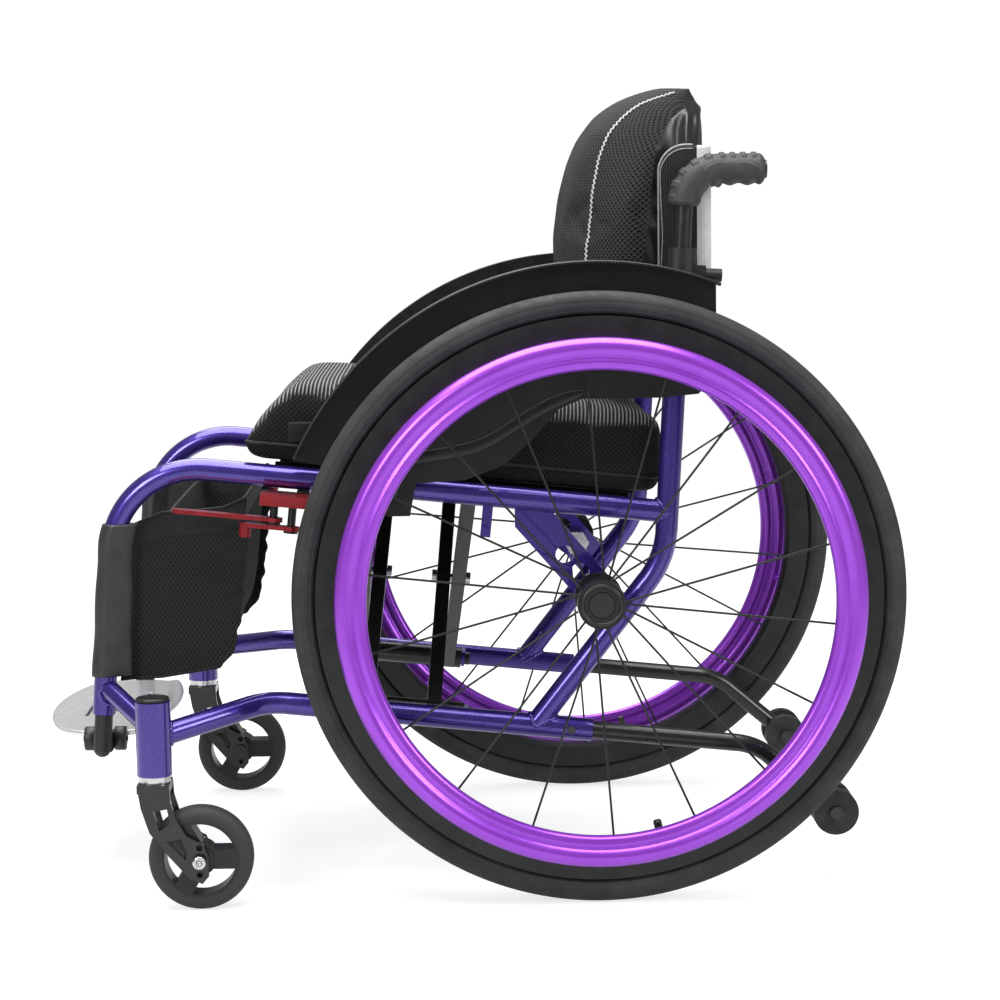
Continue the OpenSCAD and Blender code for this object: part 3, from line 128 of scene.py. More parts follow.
def add(mat, kind, inputs, **settings):
    """A shader node with its settings; an input is either a constant or another node's output."""
    made = mat.node_tree.nodes.new("ShaderNode" + kind)
    for key, value in settings.items():
        setattr(made, key, value)
    for key, value in inputs.items():
        if isinstance(value, bpy.types.NodeSocket):
            mat.node_tree.links.new(value, made.inputs[key])
        else:
            made.inputs[key].default_value = value
    return made


def feed(mat, socket, value):
    """Joins a node's output to one of the Principled shader's sockets."""
    mat.node_tree.links.new(value, mat.node_tree.nodes["Principled BSDF"].inputs[socket])


def at(mat):
    """Where the surface is, in the object's own coordinates."""
    return add(mat, "TexCoord", {}).outputs["Object"]


def tint(mat, factor, *stops):
    """A colour ramp over factor through stops of (place, grey) or (place, colour)."""
    ramp = add(mat, "ValToRGB", {"Fac": factor})
    marks = ramp.color_ramp.elements
    while len(marks) > 1:
        marks.remove(marks[-1])
    for i, (place, shade) in enumerate(stops):
        stop = marks[0] if i == 0 else marks.new(place)
        stop.position = place
        stop.color = (*(shade if isinstance(shade, tuple) else (shade,) * 3), 1)
    return ramp.outputs["Color"]


def quads_of(rows, cols, wrap_rows=False, wrap_cols=False):
    """Quads of a grid of rows by cols points, joined round where it wraps."""
    index = np.arange(rows * cols).reshape(rows, cols)
    if wrap_rows:
        index = np.vstack([index, index[:1]])
    if wrap_cols:
        index = np.hstack([index, index[:, :1]])
    return stacked(index[:-1, :-1], index[1:, :-1], index[1:, 1:], index[:-1, 1:]).reshape(-1, 4)


def skin(name, points, quads, mat):
    """A smooth mesh object; doubled points are merged, so poles and seams close, and faces turn outwards."""
    mesh = bpy.data.meshes.new(name)
    mesh.from_pydata(np.reshape(points, (-1, 3)).tolist(), [], np.asarray(quads).tolist())
    made = bmesh.new()
    made.from_mesh(mesh)
    bmesh.ops.remove_doubles(made, verts=made.verts, dist=1e-6)
    bmesh.ops.recalc_face_normals(made, faces=made.faces)
    made.to_mesh(mesh)
    made.free()
    mesh.shade_smooth()
    mesh.materials.append(mat)
    piece = bpy.data.objects.new(name, mesh)
    bpy.context.scene.collection.objects.link(piece)
    return piece


def times(mat, value, factor):
    """A node's output times a number or another output."""
    return add(mat, "Math", {0: value, 1: factor}, operation="MULTIPLY").outputs[0]


def blend(mat, factor, first, second, kind="RGBA"):
    """From first to second, colours or FLOAT numbers, as factor goes from nothing to one."""
    low, high, out = (6, 7, 2) if kind == "RGBA" else (2, 3, 0)
    return add(mat, "Mix", {0: factor, low: first, high: second}, data_type=kind).outputs[out]


floor_mat = finish("pale_floor", Roughness=0.7, Specular_IOR_Level=0.1, Emission_Color=(1, 1, 1, 1))
away = add(floor_mat, "VectorMath", {0: at(floor_mat)}, operation="LENGTH").outputs["Value"]
away = times(floor_mat, away, 0.1)
feed(floor_mat, "Base Color", tint(floor_mat, away, (0.1, 0.45), (0.22, 0.3), (0.4, 0.0)))
looked_at = add(floor_mat, "LightPath", {}).outputs["Is Camera Ray"]
white = tint(floor_mat, away, (0.1, 0.72), (0.22, 0.85), (0.4, 1.0))
feed(floor_mat, "Emission Strength", blend(floor_mat, looked_at, 0.3, white, "FLOAT"))
reach = np.linspace(-40, 40, 9)
floor_x, floor_y = np.meshgrid(reach, reach, indexing="ij")
floor = skin("floor", stacked(floor_x, floor_y, -0.0003), quads_of(9, 9), floor_mat)
if floor.data.polygons[0].normal.z < 0:
    floor.data.flip_normals()


# Side frames: bent aluminium tube, 22.2 mm across, with machined axle plates and a rippled weld at each joint.
# Sprayed in blue-violet lacquer full of metal flake, under clear coat.
def cloudy(mat, scale, detail=3.0):
    """Soft noise, scale cells to the metre."""
    return add(mat, "TexNoise", {"Vector": at(mat), "Scale": scale, "Detail": detail}).outputs["Fac"]


def rough(mat, scale, low, high):
    """A roughness that wanders from low to high with soft noise."""
    feed(mat, "Roughness", tint(mat, cloudy(mat, scale), (0.3, low), (0.7, high)))


def relief(mat, height, strength, depth):
    """Bumps the surface by a height pattern, depth metres deep."""
    bump = add(mat, "Bump", {"Height": height, "Strength": strength, "Distance": depth})
    feed(mat, "Normal", bump.outputs["Normal"])


def dress(mat, *names):
    """Gives CAD nodes a material; a name with no side stands for both sides."""
    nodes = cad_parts
    for name in names:
        for node in [name] if name in nodes else [name + "_left", name + "_right"]:
            for place in nodes[node].material_slots:
                place.material = mat


flake_paint = finish("violet_flake_lacquer", Metallic=0.7, Coat_Weight=1.0, Coat_Roughness=0.04)
flakes = add(flake_paint, "TexVoronoi", {"Vector": at(flake_paint), "Scale": 2200.0}).outputs["Color"]
feed(flake_paint, "Base Color", tint(
    flake_paint, flakes, (0.2, (0.032, 0.014, 0.2)), (0.6, (0.052, 0.026, 0.29)), (0.95, (0.11, 0.075, 0.46))))
rough(flake_paint, 25, 0.22, 0.33)
relief(flake_paint, flakes, 0.03, 0.0002)
dress(flake_paint, "side_tube", "lower_rail", "back_cane", "axle_plate")

SIDES = (("left", 1), ("right", -1))
TILT, LEG_LEAN, CANE_LEAN = np.radians(6.1), np.radians(4.3), np.radians(3.4)
RAIL_Z, SEAT_Z, LEG_X, LEG_Z, CANE_X, CANE_Z = 153.3, 378.1, 486, 179, -71.6, 370.45
FRAME_Y, TUBE_R, HEAD_R, BRACE_R, BEAD_R = 184.0, 11.1, 17.0, 9.5, 2.1
RAIL = np.array([np.cos(TILT), 0, np.sin(TILT)])


def unit(v):
    """v at length one, along the last axis."""
    return v / np.linalg.norm(v, axis=-1, keepdims=True)


def rail_at(level, x):
    """A point of the lower rail's line, from RAIL_Z, or of the seat tube's, from SEAT_Z: that height at the axle plus
    x times the tilt's tangent."""
    return np.array([x, FRAME_Y, level + x * np.tan(TILT)])


def leg_at(z):
    """Points of the front leg's line: it leans back by a constant slope from its foot."""
    z = np.asarray(z, float)
    return stacked(LEG_X - (z - LEG_Z) * np.tan(LEG_LEAN), FRAME_Y, z)


def cane_at(z):
    """A point of the back cane's line, which leans back by a constant slope."""
    return np.array([CANE_X - (z - CANE_Z) * np.tan(CANE_LEAN), FRAME_Y, z])


def saddle(start, toward, r, axis_point, axis, big_r):
    """Where a tube of radius r meets one of radius big_r: each line along the first tube slides to that distance
    from the other's axis, the nearer root of |b + s a| = big_r."""
    d, u = unit(np.asarray(toward, float) - start), unit(np.asarray(axis, float))
    e = unit(np.cross(d, u))
    t = np.linspace(0, 2 * np.pi, 84, endpoint=False)[:, None]
    q = start + r * (np.cos(t) * e + np.sin(t) * np.cross(d, e))
    w = q - axis_point
    a, b = d - (d @ u) * u, w - (w @ u)[:, None] * u
    root = np.sqrt(np.maximum((b @ a) ** 2 - (a @ a) * ((b * b).sum(1) - big_r**2), 0))
    return q + ((-(b @ a) - root) / (a @ a))[:, None] * d


def sweep(path, radius, sides, outward, closed=False):
    """A round profile carried along a path: point + radius (cos n + sin b), n being outward squared to the path."""
    path = np.asarray(path, float)
    along = np.roll(path, -1, 0) - np.roll(path, 1, 0) if closed else np.gradient(path, axis=0)
    t = unit(along)
    n = np.broadcast_to(np.asarray(outward, float), path.shape)
    n = unit(n - (n * t).sum(1, keepdims=True) * t)
    turn = np.linspace(0, 2 * np.pi, sides, endpoint=False)[None, :, None]
    radius = np.broadcast_to(np.reshape(radius, (-1, 1, 1)), (len(path), 1, 1))
    ring = path[:, None] + radius * (np.cos(turn) * n[:, None] + np.sin(turn) * np.cross(t, n)[:, None])
    if not closed:
        ring = np.concatenate([np.repeat(path[:1, None], sides, 1), ring, np.repeat(path[-1:, None], sides, 1)])
    return ring.reshape(-1, 3), quads_of(len(ring), sides, closed, True)


def joined(parts):
    """Several (points, quads) as one."""
    starts = np.cumsum([0] + [len(p) for p, _ in parts])
    return np.vstack([p for p, _ in parts]), np.vstack([q + s for (_, q), s in zip(parts, starts)])


def flipped(points, side):
    """The same points on the other side of the chair when side is -1."""
    return np.asarray(points) * (1, side, 1)


def both_sides(name, shape, mat):
    """Makes (points, quads) in millimetres into a left piece, then a mirrored right one, each with its side's name."""
    for side_name, side in SIDES:
        yield side_name, skin(name + "_" + side_name, row(flipped(shape[0], side)), shape[1], mat)


head_axis = np.array([430.0, 252, 167.5])
brace_out, brace_in = np.array([430.0, 252, 174.7]), leg_at(202.7)
strut = np.array([-28.25, FRAME_Y, 272.69])
strut_way, cane_way = np.array([0.6198, 0, -0.7848]), cane_at(500.0) - cane_at(400.0)
weld_lines = [
    saddle(rail_at(SEAT_Z, 0.0), rail_at(SEAT_Z, -60.0), TUBE_R, cane_at(400.0), cane_way, TUBE_R),
    saddle(strut, strut + strut_way, TUBE_R, rail_at(RAIL_Z, 0.0), RAIL, TUBE_R),
    saddle(rail_at(RAIL_Z, 325.0), head_axis, TUBE_R, head_axis, (0, 0, 1), HEAD_R),
    saddle(brace_in, brace_out, BRACE_R, head_axis, (0, 0, 1), HEAD_R),
    saddle(brace_out, brace_in, BRACE_R, leg_at(200.0), leg_at(180.0) - leg_at(300.0), TUBE_R),
]
beads = []
for line in weld_lines:
    ripple = BEAD_R * (1 + 0.16 * np.cos(np.arange(len(line)) * np.pi / 2))
    beads.append(sweep(line, ripple, 10, line - line.mean(0), True))
for side_name, weld in both_sides("weld_beads", joined(beads), flake_paint):
    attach(weld, side_name + "_frame")


# Head tube caps: black caps pressed in over the caster stems. Moulded in glass-filled nylon with a fine grain.
# The foot plugs of the front legs, the handle clamps, their knobs and the axle buttons are of the same nylon.
def mottled(name, tone, wear, bump, **sockets):
    """A finish with soft noise in its colour, roughness and height. tone is (scale, from, to) with or without the
    noise's detail, wear is the roughness's (scale, from, to) and bump is (scale, strength, depth)."""
    mat = finish(name, **sockets)
    feed(mat, "Base Color", tint(mat, cloudy(mat, tone[0], *tone[3:]), (0.3, tone[1]), (0.7, tone[2])))
    rough(mat, *wear)
    relief(mat, cloudy(mat, bump[0]), *bump[1:])
    return mat


nylon = mottled("black_nylon", (60, 0.007, 0.013), (220, 0.38, 0.55), (1500, 0.12, 0.0003),
                Coat_Weight=0.12, Coat_Roughness=0.3)
dress(nylon, "leg_insert", "handle_clamp", "clamp_knob", "axle_button")


def lathe(profile, centre, count, axis=(0, 0, 1), first=(1, 0, 0)):
    """A profile of (radius, height) turned about an axis: centre + r (cos a f + sin a g) + h axis."""
    profile, axis, first = np.asarray(profile, float), np.asarray(axis, float), np.asarray(first, float)
    a = np.linspace(0, 2 * np.pi, count, endpoint=False)[:, None, None]
    r, h = profile[None, :, :1], profile[None, :, 1:]
    points = np.asarray(centre) + r * (np.cos(a) * first + np.sin(a) * np.cross(axis, first)) + h * axis
    return points.reshape(-1, 3), quads_of(count, len(profile), True, False)


cap_profile = [(0, 0), (15.2, 0), (15.9, 0.6), (16.1, 2.2), (15.3, 3.6), (12.5, 4.3), (11.8, 3.6), (6, 3.9), (0, 4.1)]
for side_name, cap in both_sides("head_cap", lathe(cap_profile, (*head_axis[:2], 203.6), 48), nylon):
    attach(cap, side_name + "_frame")


# Folding brace: two crossed arms of black powder-coated tube, welded to the seat rails on top.
# The bolts where they cross and the wheel axles are zinc-plated steel; the other black tubes have the same coat.
powder = mottled("black_powder_coat", (40, 0.006, 0.011), (90, 0.24, 0.36), (900, 0.08, 0.0004),
                 Coat_Weight=0.35, Coat_Roughness=0.18)
dress(powder, "brace_left", "brace_right", "handle_tube", "anti_tip_tube", "snap_button")
plated = mottled("bright_plated_steel", (50, 0.62, 0.78), (180, 0.14, 0.3), (1200, 0.05, 0.0002), Metallic=1.0)
dress(plated, "brace_bolts", "axle")


# Rear tyres: moulded grey-black rubber, 590 mm across, with fine rings round the tread and the side walls.
# Stretched over the rim, and a little dusty all over.
rubber = finish("tyre_rubber", Specular_IOR_Level=0.35)
feed(rubber, "Base Color", tint(rubber, cloudy(rubber, 30, 6), (0.25, 0.022), (0.5, 0.032), (0.8, 0.045)))
rough(rubber, 140, 0.55, 0.78)
relief(rubber, cloudy(rubber, 1100, 5), 0.18, 0.0004)


def dip(t, place, width):
    """One at place, falling smoothly to nothing at half of width to either side."""
    s = np.clip(1 - np.abs(t - place) / (width / 2), 0, 1)
    return s * s * (3 - 2 * s)


AXLE_Z, ACROSS = 295, (0, 1, 0)
WHEEL = np.array([0.0, 252, AXLE_Z])
TYRE_AT, TYRE_H, TYRE_W, TYRE_POWER = 283.5, 23, 26, 2.3


def tyre_profile():
    """A rounded section: a superellipse, with rings cut into its crown and walls."""
    a = np.linspace(0, 2 * np.pi, 97)
    c, s = np.cos(a), np.sin(a)
    y = TYRE_W / 2 * np.sign(s) * np.abs(s) ** (2 / TYRE_POWER)
    out = TYRE_H / 2 * np.sign(c) * np.abs(c) ** (2 / TYRE_POWER)
    cuts = sum(dip(np.abs(y), place, 1.6) * (out > 4) for place in (2.6, 6.4)) * 0.7
    wall = sum(dip(out, place, 2.0) * (np.abs(y) > 10) for place in (1.5, -5.5)) * 0.6
    return stacked(TYRE_AT + out - cuts, y - np.sign(y) * wall)


for side_name, tyre in both_sides("tyre_cover", lathe(tyre_profile(), WHEEL, 220, ACROSS), rubber):
    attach(tyre, "wheel_" + side_name)
    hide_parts("tyre_" + side_name)


# Rims: a deep black anodised aluminium section, with the valve standing inwards at the bottom.
# Spokes are black steel wire; hubs are turned and anodised black, and a raised ring runs round each hub cap.
anodised = mottled("black_anodised", (45, 0.012, 0.022), (160, 0.32, 0.48), (1300, 0.06, 0.0002),
                   Metallic=0.45, Coat_Weight=0.2, Coat_Roughness=0.2)
dress(anodised, "rim", "hub", "spokes")
ring_a = np.linspace(0, 2 * np.pi, 25)
hub_ring = stacked(18.6 + 1.7 * np.cos(ring_a), 0.4 + 1.5 * np.sin(ring_a))
valve_profile = [(0, 0), (3.2, 0), (3.2, 8), (2.6, 8.6), (2.6, 13), (4.1, 13.4), (4.1, 22), (3.4, 23.5), (0, 23.8)]
inward, valve_foot = unit(np.array([57.0, 0, 231.0])), 247
valve_and_ring = joined([lathe(valve_profile, WHEEL - inward * valve_foot, 20, inward, ACROSS),
                         lathe(hub_ring, (0, 290, AXLE_Z), 64, ACROSS)])
for side_name, valve in both_sides("valve", valve_and_ring, powder):
    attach(valve, "wheel_" + side_name)


# Handrims: a two-lobed aluminium ring, drawn, bent round and anodised bright violet.
# Held to the rim by six round tabs.
violet_rim = mottled("violet_anodised", (20, (0.34, 0.05, 0.7), (0.37, 0.062, 0.74)), (60, 0.27, 0.31),
                     (150, 0.01, 0.0002), Metallic=0.6, Coat_Weight=0.7, Coat_Roughness=0.24)
BIG_AT, BIG_R, SMALL_AT, SMALL_R, WEB = 243.5, 9.5, 228.5, 6.5, 5.0
RING_Y, TAB_AT, TAB_R, TAB_FROM, TAB_TO = 288, 248.2, 4, 262.4, 283


def rim_section():
    """Half-height over radius r of a large and a small round bar side by side, with a web between their centres:
    the fourth root of the summed fourth powers of the three heights."""
    a = np.linspace(0, 2 * np.pi, 121)
    r = 237.5 + 15.5 * np.cos(a)
    big = np.sqrt(np.maximum(0, BIG_R**2 - (r - BIG_AT) ** 2))
    small = np.sqrt(np.maximum(0, SMALL_R**2 - (r - SMALL_AT) ** 2))
    web = WEB * ((r > SMALL_AT) & (r < BIG_AT))
    return stacked(r, np.sign(np.sin(a)) * (big**4 + small**4 + web**4) ** 0.25)


shapes = [lathe(rim_section(), (0, RING_Y, AXLE_Z), 240, ACROSS)]
for angle in np.radians(np.arange(6) * 60 + 14):
    tab = stacked(TAB_AT * np.cos(angle), np.linspace(TAB_FROM, TAB_TO, 6), AXLE_Z + TAB_AT * np.sin(angle))
    shapes.append(sweep(tab, TAB_R, 16, (1, 0, 0)))
for side_name, handrim in both_sides("handrim_ring", joined(shapes), violet_rim):
    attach(handrim, "wheel_" + side_name)
    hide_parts("handrim_" + side_name)


# Casters: cast black wheels with a solid rubber tread, each on a black fork with a bright collar under the head tube.
# Each turns on a plated bolt with a socket in its head.
CASTER_X, CASTER_Z = 387, 50.5
caster_mat = finish("caster_rubber", Specular_IOR_Level=0.4)
to_hub = -row((CASTER_X, 0, CASTER_Z))
offset = add(caster_mat, "VectorMath", {0: at(caster_mat), 1: to_hub}, operation="ADD").outputs[0]
flat_offset = add(caster_mat, "VectorMath", {0: offset, 1: (1.0, 0.0, 1.0)}, operation="MULTIPLY").outputs[0]
from_hub = add(caster_mat, "VectorMath", {0: flat_offset}, operation="LENGTH").outputs["Value"]
spread = times(caster_mat, from_hub, 20.0)
feed(caster_mat, "Base Color", tint(caster_mat, spread, (0.74, 0.012), (0.77, 0.03), (1.0, 0.036)))
feed(caster_mat, "Roughness", tint(caster_mat, spread, (0.74, 0.32), (0.77, 0.62)))
relief(caster_mat, cloudy(caster_mat, 1100), 0.12, 0.0003)
dress(caster_mat, "caster_wheel")
fork_mat = finish("fork_with_bright_collar", Coat_Weight=0.3, Coat_Roughness=0.18)
up = add(fork_mat, "SeparateXYZ", {0: at(fork_mat)}).outputs["Z"]
rise = times(fork_mat, up, 4.0)
feed(fork_mat, "Base Color", tint(fork_mat, rise, (0.5, 0.008), (0.503, 0.7)))
feed(fork_mat, "Metallic", tint(fork_mat, rise, (0.5, 0.0), (0.503, 1.0)))
rough(fork_mat, 90, 0.18, 0.32)
relief(fork_mat, cloudy(fork_mat, 900), 0.08, 0.0004)
dress(fork_mat, "caster_fork")

bolt_profile = [(0, 0), (6.5, 0), (6.6, 0.5), (6.4, 3.6), (5.6, 4.4), (3.4, 4.5), (3.1, 4.2), (3.0, 1.6), (0, 1.5)]
for side_name, bolt in both_sides("caster_bolt", lathe(bolt_profile, (CASTER_X, 276, CASTER_Z), 30, ACROSS), plated):
    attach(bolt, "fork_" + side_name)


# Anti-tip wheels: hard black rollers at the ends of two bent tubes that plug into the lower rails.
# Cast nylon, a little scuffed.
roller = finish("scuffed_roller", Specular_IOR_Level=0.4)
feed(roller, "Base Color", tint(roller, cloudy(roller, 80, 6), (0.3, 0.012), (0.75, 0.04)))
rough(roller, 200, 0.4, 0.65)
relief(roller, cloudy(roller, 900), 0.12, 0.0004)
dress(roller, "anti_tip_wheels")


# Side guards: vacuum-formed satin black sheet, 3 mm thick, with a top flange that follows the tyre.
# The flange has a rounded edge, a ridge is embossed in the face, and a bolt holds the front lug.
guard_mat = mottled("satin_black_sheet", (30, 0.0055, 0.01), (120, 0.3, 0.42), (800, 0.06, 0.0003),
                    Specular_IOR_Level=0.4, Coat_Weight=0.12, Coat_Roughness=0.25)
dress(guard_mat, "side_guard")
FLANGE_R, FLANGE_Y, FACE_Y = 321.6, 226.4, 203
LUG = (198, FACE_Y, 397)


def rounded(t, power):
    """sqrt(1 - |t|^power): flat in the middle and square at the ends as power grows."""
    return np.sqrt(np.maximum(0, 1 - np.abs(t) ** power))


def smoothed(line):
    """Each value becomes the mean of the 21 round it; the ends go on turned about their last value."""
    return np.convolve(np.pad(line, 10, "reflect", reflect_type="odd"), np.ones(21) / 21, "valid")


a = np.radians(np.linspace(25.2, 111.8, 120))
edge_path = stacked(FLANGE_R * np.cos(a), FLANGE_Y, AXLE_Z + FLANGE_R * np.sin(a))
RIDGE = np.array([[190, 426], [182, 427], [161, 431], [132, 434.5], [109.5, 440.8], [91.6, 450.6], [71.4, 463.7],
                  [53.4, 474.6], [35.5, 483.2], [10, 491]])
t = np.linspace(0, 9, 120)
ridge_x, ridge_z = (smoothed(np.interp(t, np.arange(10), RIDGE[:, i])) for i in (0, 1))
ridge_line = stacked(ridge_x, FACE_Y, ridge_z)
emboss, emboss_quads = sweep(ridge_line, 6.5 * rounded(t / 4.5 - 1, 8), 20, ACROSS)
emboss[:, 1] = FACE_Y + (emboss[:, 1] - FACE_Y) * 0.4
lug_bolt = lathe(np.array(bolt_profile) * 1.1, LUG, 30, ACROSS)
guard_trim = joined([sweep(edge_path, 1.7, 10, ACROSS), (emboss, emboss_quads), lug_bolt])
for side_name, edge in both_sides("guard_edge", guard_trim, guard_mat):
    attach(edge, side_name + "_frame")


# Brakes: a bar on two black posts under the seat tube, a push lever and a shoe arm that turn on it.
# Cut from aluminium plate and anodised dark red.
red_plate = mottled("red_anodised", (60, (0.26, 0.012, 0.018), (0.38, 0.025, 0.03)), (250, 0.22, 0.34),
                    (300, 0.02, 0.0002), Metallic=0.55, Coat_Weight=0.3, Coat_Roughness=0.15)
dress(red_plate, "brake_lever", "brake_shoe")
mount_mat = finish("red_bar_on_black_posts", Coat_Weight=0.3, Coat_Roughness=0.16)
c, s = np.cos(TILT), np.sin(TILT)
place = add(mount_mat, "SeparateXYZ", {0: at(mount_mat)}).outputs
ahead = add(mount_mat, "Math", {0: place["X"], 1: -s, 2: -MID_X * 0.001 * s}, operation="MULTIPLY_ADD").outputs[0]
above = add(mount_mat, "Math", {0: place["Z"], 1: c, 2: ahead}, operation="MULTIPLY_ADD").outputs[0]
level = add(mount_mat, "Math", {0: above, 1: RAIL_Z * 0.001 * c + 0.15}, operation="SUBTRACT").outputs[0]
level = times(mount_mat, level, 10.0)
feed(mount_mat, "Base Color", tint(mount_mat, level, (0.468, 0.008), (0.473, (0.3, 0.016, 0.022)),
                                   (0.588, (0.36, 0.022, 0.028)), (0.592, 0.008)))
feed(mount_mat, "Metallic", tint(mount_mat, level, (0.468, 0.0), (0.473, 0.5), (0.588, 0.5), (0.592, 0.0)))
rough(mount_mat, 200, 0.24, 0.36)
relief(mount_mat, cloudy(mount_mat, 300), 0.02, 0.0002)
dress(mount_mat, "brake_mount")


# Footplate: cast and polished aluminium with rounded edges, three grooves and a turned-up heel.
# It hinges on two black nylon ears at the left foot plug.
def marked(mat, name, kind="Vector"):
    """What mark() keeps on the mesh under this name, as a Vector or as a number, Fac."""
    return add(mat, "Attribute", {}, attribute_name=name).outputs[kind]


foot_mat = finish("polished_footplate", Coat_Weight=0.1, Coat_Roughness=0.1)
groove_shade = marked(foot_mat, "groove", "Fac")
# The grooves are painted near black and not metallic: painted shade in the recesses, over the polished metal.
feed(foot_mat, "Base Color", tint(foot_mat, groove_shade, (0.3, 0.84), (0.6, 0.02)))
feed(foot_mat, "Metallic", tint(foot_mat, groove_shade, (0.3, 0.6), (0.6, 0.0)))
rough(foot_mat, 130, 0.12, 0.24)
relief(foot_mat, cloudy(foot_mat, 1000), 0.05, 0.0002)
FOOT_Z, FOOT_T, FOOT_MID_X, FOOT_MID_Y, FOOT_HALF = 149.0, 6, 495.5, -3.0, 143
TOE_R, HEEL_R, TOE_X, HEEL_X, LIP = 345.6, 423.2, 562, 429, 7
GROOVE_STEP, GROOVE_DEEP, HINGE, EAR_OUT = 26, 2.4, np.array([488.3, 160, FOOT_Z]), 14.8


def ramp_up(t, low, high):
    """Smooth step from nothing at low to one at high."""
    s = np.clip((t - low) / (high - low), 0, 1)
    return s * s * (3 - 2 * s)


def border_of(grid):
    """The border of a grid, once round."""
    return np.concatenate([grid[0, :-1], grid[:-1, -1], grid[-1, :0:-1], grid[:0:-1, 0]])


def pillow(upper, lower):
    """A closed skin from two grids of points with a shared outline: both grids, and a wall between their borders."""
    n, m = upper.shape[:2]
    rim = border_of(np.arange(n * m).reshape(n, m))
    ahead = np.roll(rim, -1)
    wall = stacked(rim, ahead, ahead + n * m, rim + n * m)
    face = quads_of(n, m)
    return np.concatenate([upper.reshape(-1, 3), lower.reshape(-1, 3)]), np.vstack([face, face + n * m, wall])


def groove_at(x, y):
    """One in the three grooves, which run across the chair at even steps, and nothing beside them."""
    half = 1.5 * GROOVE_STEP
    off_line = np.abs((x - FOOT_MID_X + half) % GROOVE_STEP - GROOVE_STEP / 2)
    inside = (np.abs(x - FOOT_MID_X) < half) * (1 - ramp_up(np.abs(y - FOOT_MID_Y), 58, 61))
    return (1 - ramp_up(off_line, 1.3, 2.3)) * inside


def dense_ends(count):
    """Shares from -1 to 1, closer together towards both ends: the sine of an even run."""
    return np.sin(np.linspace(-np.pi / 2, np.pi / 2, count))


def foot_skin():
    """Two faces over depth share u and length share v, between a toe arc and a heel arc: half the thickness times a
    term that falls to nothing at the edges, plus a smooth rise at the heel, less the grooves on the upper face."""
    u, v = np.meshgrid(dense_ends(221), dense_ends(91), indexing="ij")
    y = FOOT_MID_Y + FOOT_HALF * v
    toe = TOE_X - TOE_R + np.sqrt(TOE_R**2 - (FOOT_HALF * v) ** 2)
    heel = HEEL_X + HEEL_R - np.sqrt(HEEL_R**2 - (FOOT_HALF * v) ** 2)
    x = (toe + heel) / 2 + u * (toe - heel) / 2 * rounded(v, 14)
    edge = rounded(u, 24) * rounded(v, 40)
    lip = LIP * ramp_up(-u, 0.66, 1.02) * (1 - ramp_up(np.abs(v), 0.7, 0.95))
    upper = FOOT_Z + lip + FOOT_T / 2 * edge - GROOVE_DEEP * groove_at(x, y)
    lower = FOOT_Z - 0.1 + lip - (FOOT_T / 2 - 0.1) * edge
    return stacked(x, y, upper), stacked(x, y, lower)


def places_of(piece, what="co"):
    """The mesh's points, or their normals, as an array."""
    found = np.empty(len(piece.data.vertices) * 3, np.float32)
    piece.data.vertices.foreach_get(what, found)
    return found.reshape(-1, 3).astype(float)


def spots_of(piece):
    """The mesh's points in millimetres from under the rear axle, as they were before row()."""
    return places_of(piece) * 1000 + (MID_X, 0, 0)


def mark(piece, name, values):
    """Keeps a number or a triple for each point, for the material to read."""
    kind = "FLOAT_VECTOR" if values.ndim == 2 else "FLOAT"
    made = piece.data.attributes.new(name, kind, "POINT")
    made.data.foreach_set("vector" if values.ndim == 2 else "value", np.asarray(values, np.float32).ravel())


points, quads = pillow(*(row(face) for face in foot_skin()))
plate = skin("footplate_cast", points, quads, foot_mat)
spots = spots_of(plate)
# Marks the grooves on the upper face, where the material paints shade.
mark(plate, "groove", groove_at(spots[:, 0], spots[:, 1]) * (spots[:, 2] > FOOT_Z - 1))
ear_profile = [(0, -5.5), (11.2, -5.5), (12, -4.7), (12, 4.7), (11.2, 5.5), (0, 5.5)]
shapes = []
for ear_x in (-EAR_OUT, EAR_OUT):
    centre = HINGE + (ear_x, 0, 0)
    arm, arm_quads = sweep(centre - np.linspace(42, 0, 8)[:, None] * ACROSS, 5.4, 24, (0, 0, 1))
    arm[:, 2] = FOOT_Z + (arm[:, 2] - FOOT_Z) * 0.6
    shapes += [lathe(ear_profile, centre, 48, (1, 0, 0), ACROSS), (arm, arm_quads)]
points, quads = joined(shapes)
ears = skin("footplate_ears", row(points), quads, nylon)
for piece, slot in ((plate, "silver"), (ears, "foot_black")):
    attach(piece, "footplate")
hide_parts("footplate")


# Seat sling: one rectangle of black nylon cloth, stretched between the two seat rails and sagging a little.
# A plain weave shows at close range.
def lattice(mat, where, pitch_a, pitch_b):
    """cos(2 pi a / pitch_a) cos(2 pi b / pitch_b): cells in a diamond arrangement, from -1 to 1."""
    parts = add(mat, "SeparateXYZ", {0: where})
    waves = []
    for axis, pitch in (("X", pitch_a), ("Y", pitch_b)):
        turns = times(mat, parts.outputs[axis], 2 * np.pi / pitch)
        waves.append(add(mat, "Math", {0: turns}, operation="COSINE").outputs[0])
    return times(mat, waves[0], waves[1])


def tilted(points):
    """From the rails' own frame, x along them and z square to them, to the chair's: turned by the tilt and lifted."""
    p = np.asarray(points, float)
    c, s = np.cos(TILT), np.sin(TILT)
    return stacked(p[..., 0] * c - p[..., 2] * s, p[..., 1], RAIL_Z + p[..., 0] * s + p[..., 2] * c)


def thicken(piece, thickness, offset):
    """A live wall: thickness metres, half to each side of the surface at offset 0, inwards at -1."""
    wall = piece.modifiers.new("thickness", "SOLIDIFY")
    wall.thickness, wall.offset = thickness, offset


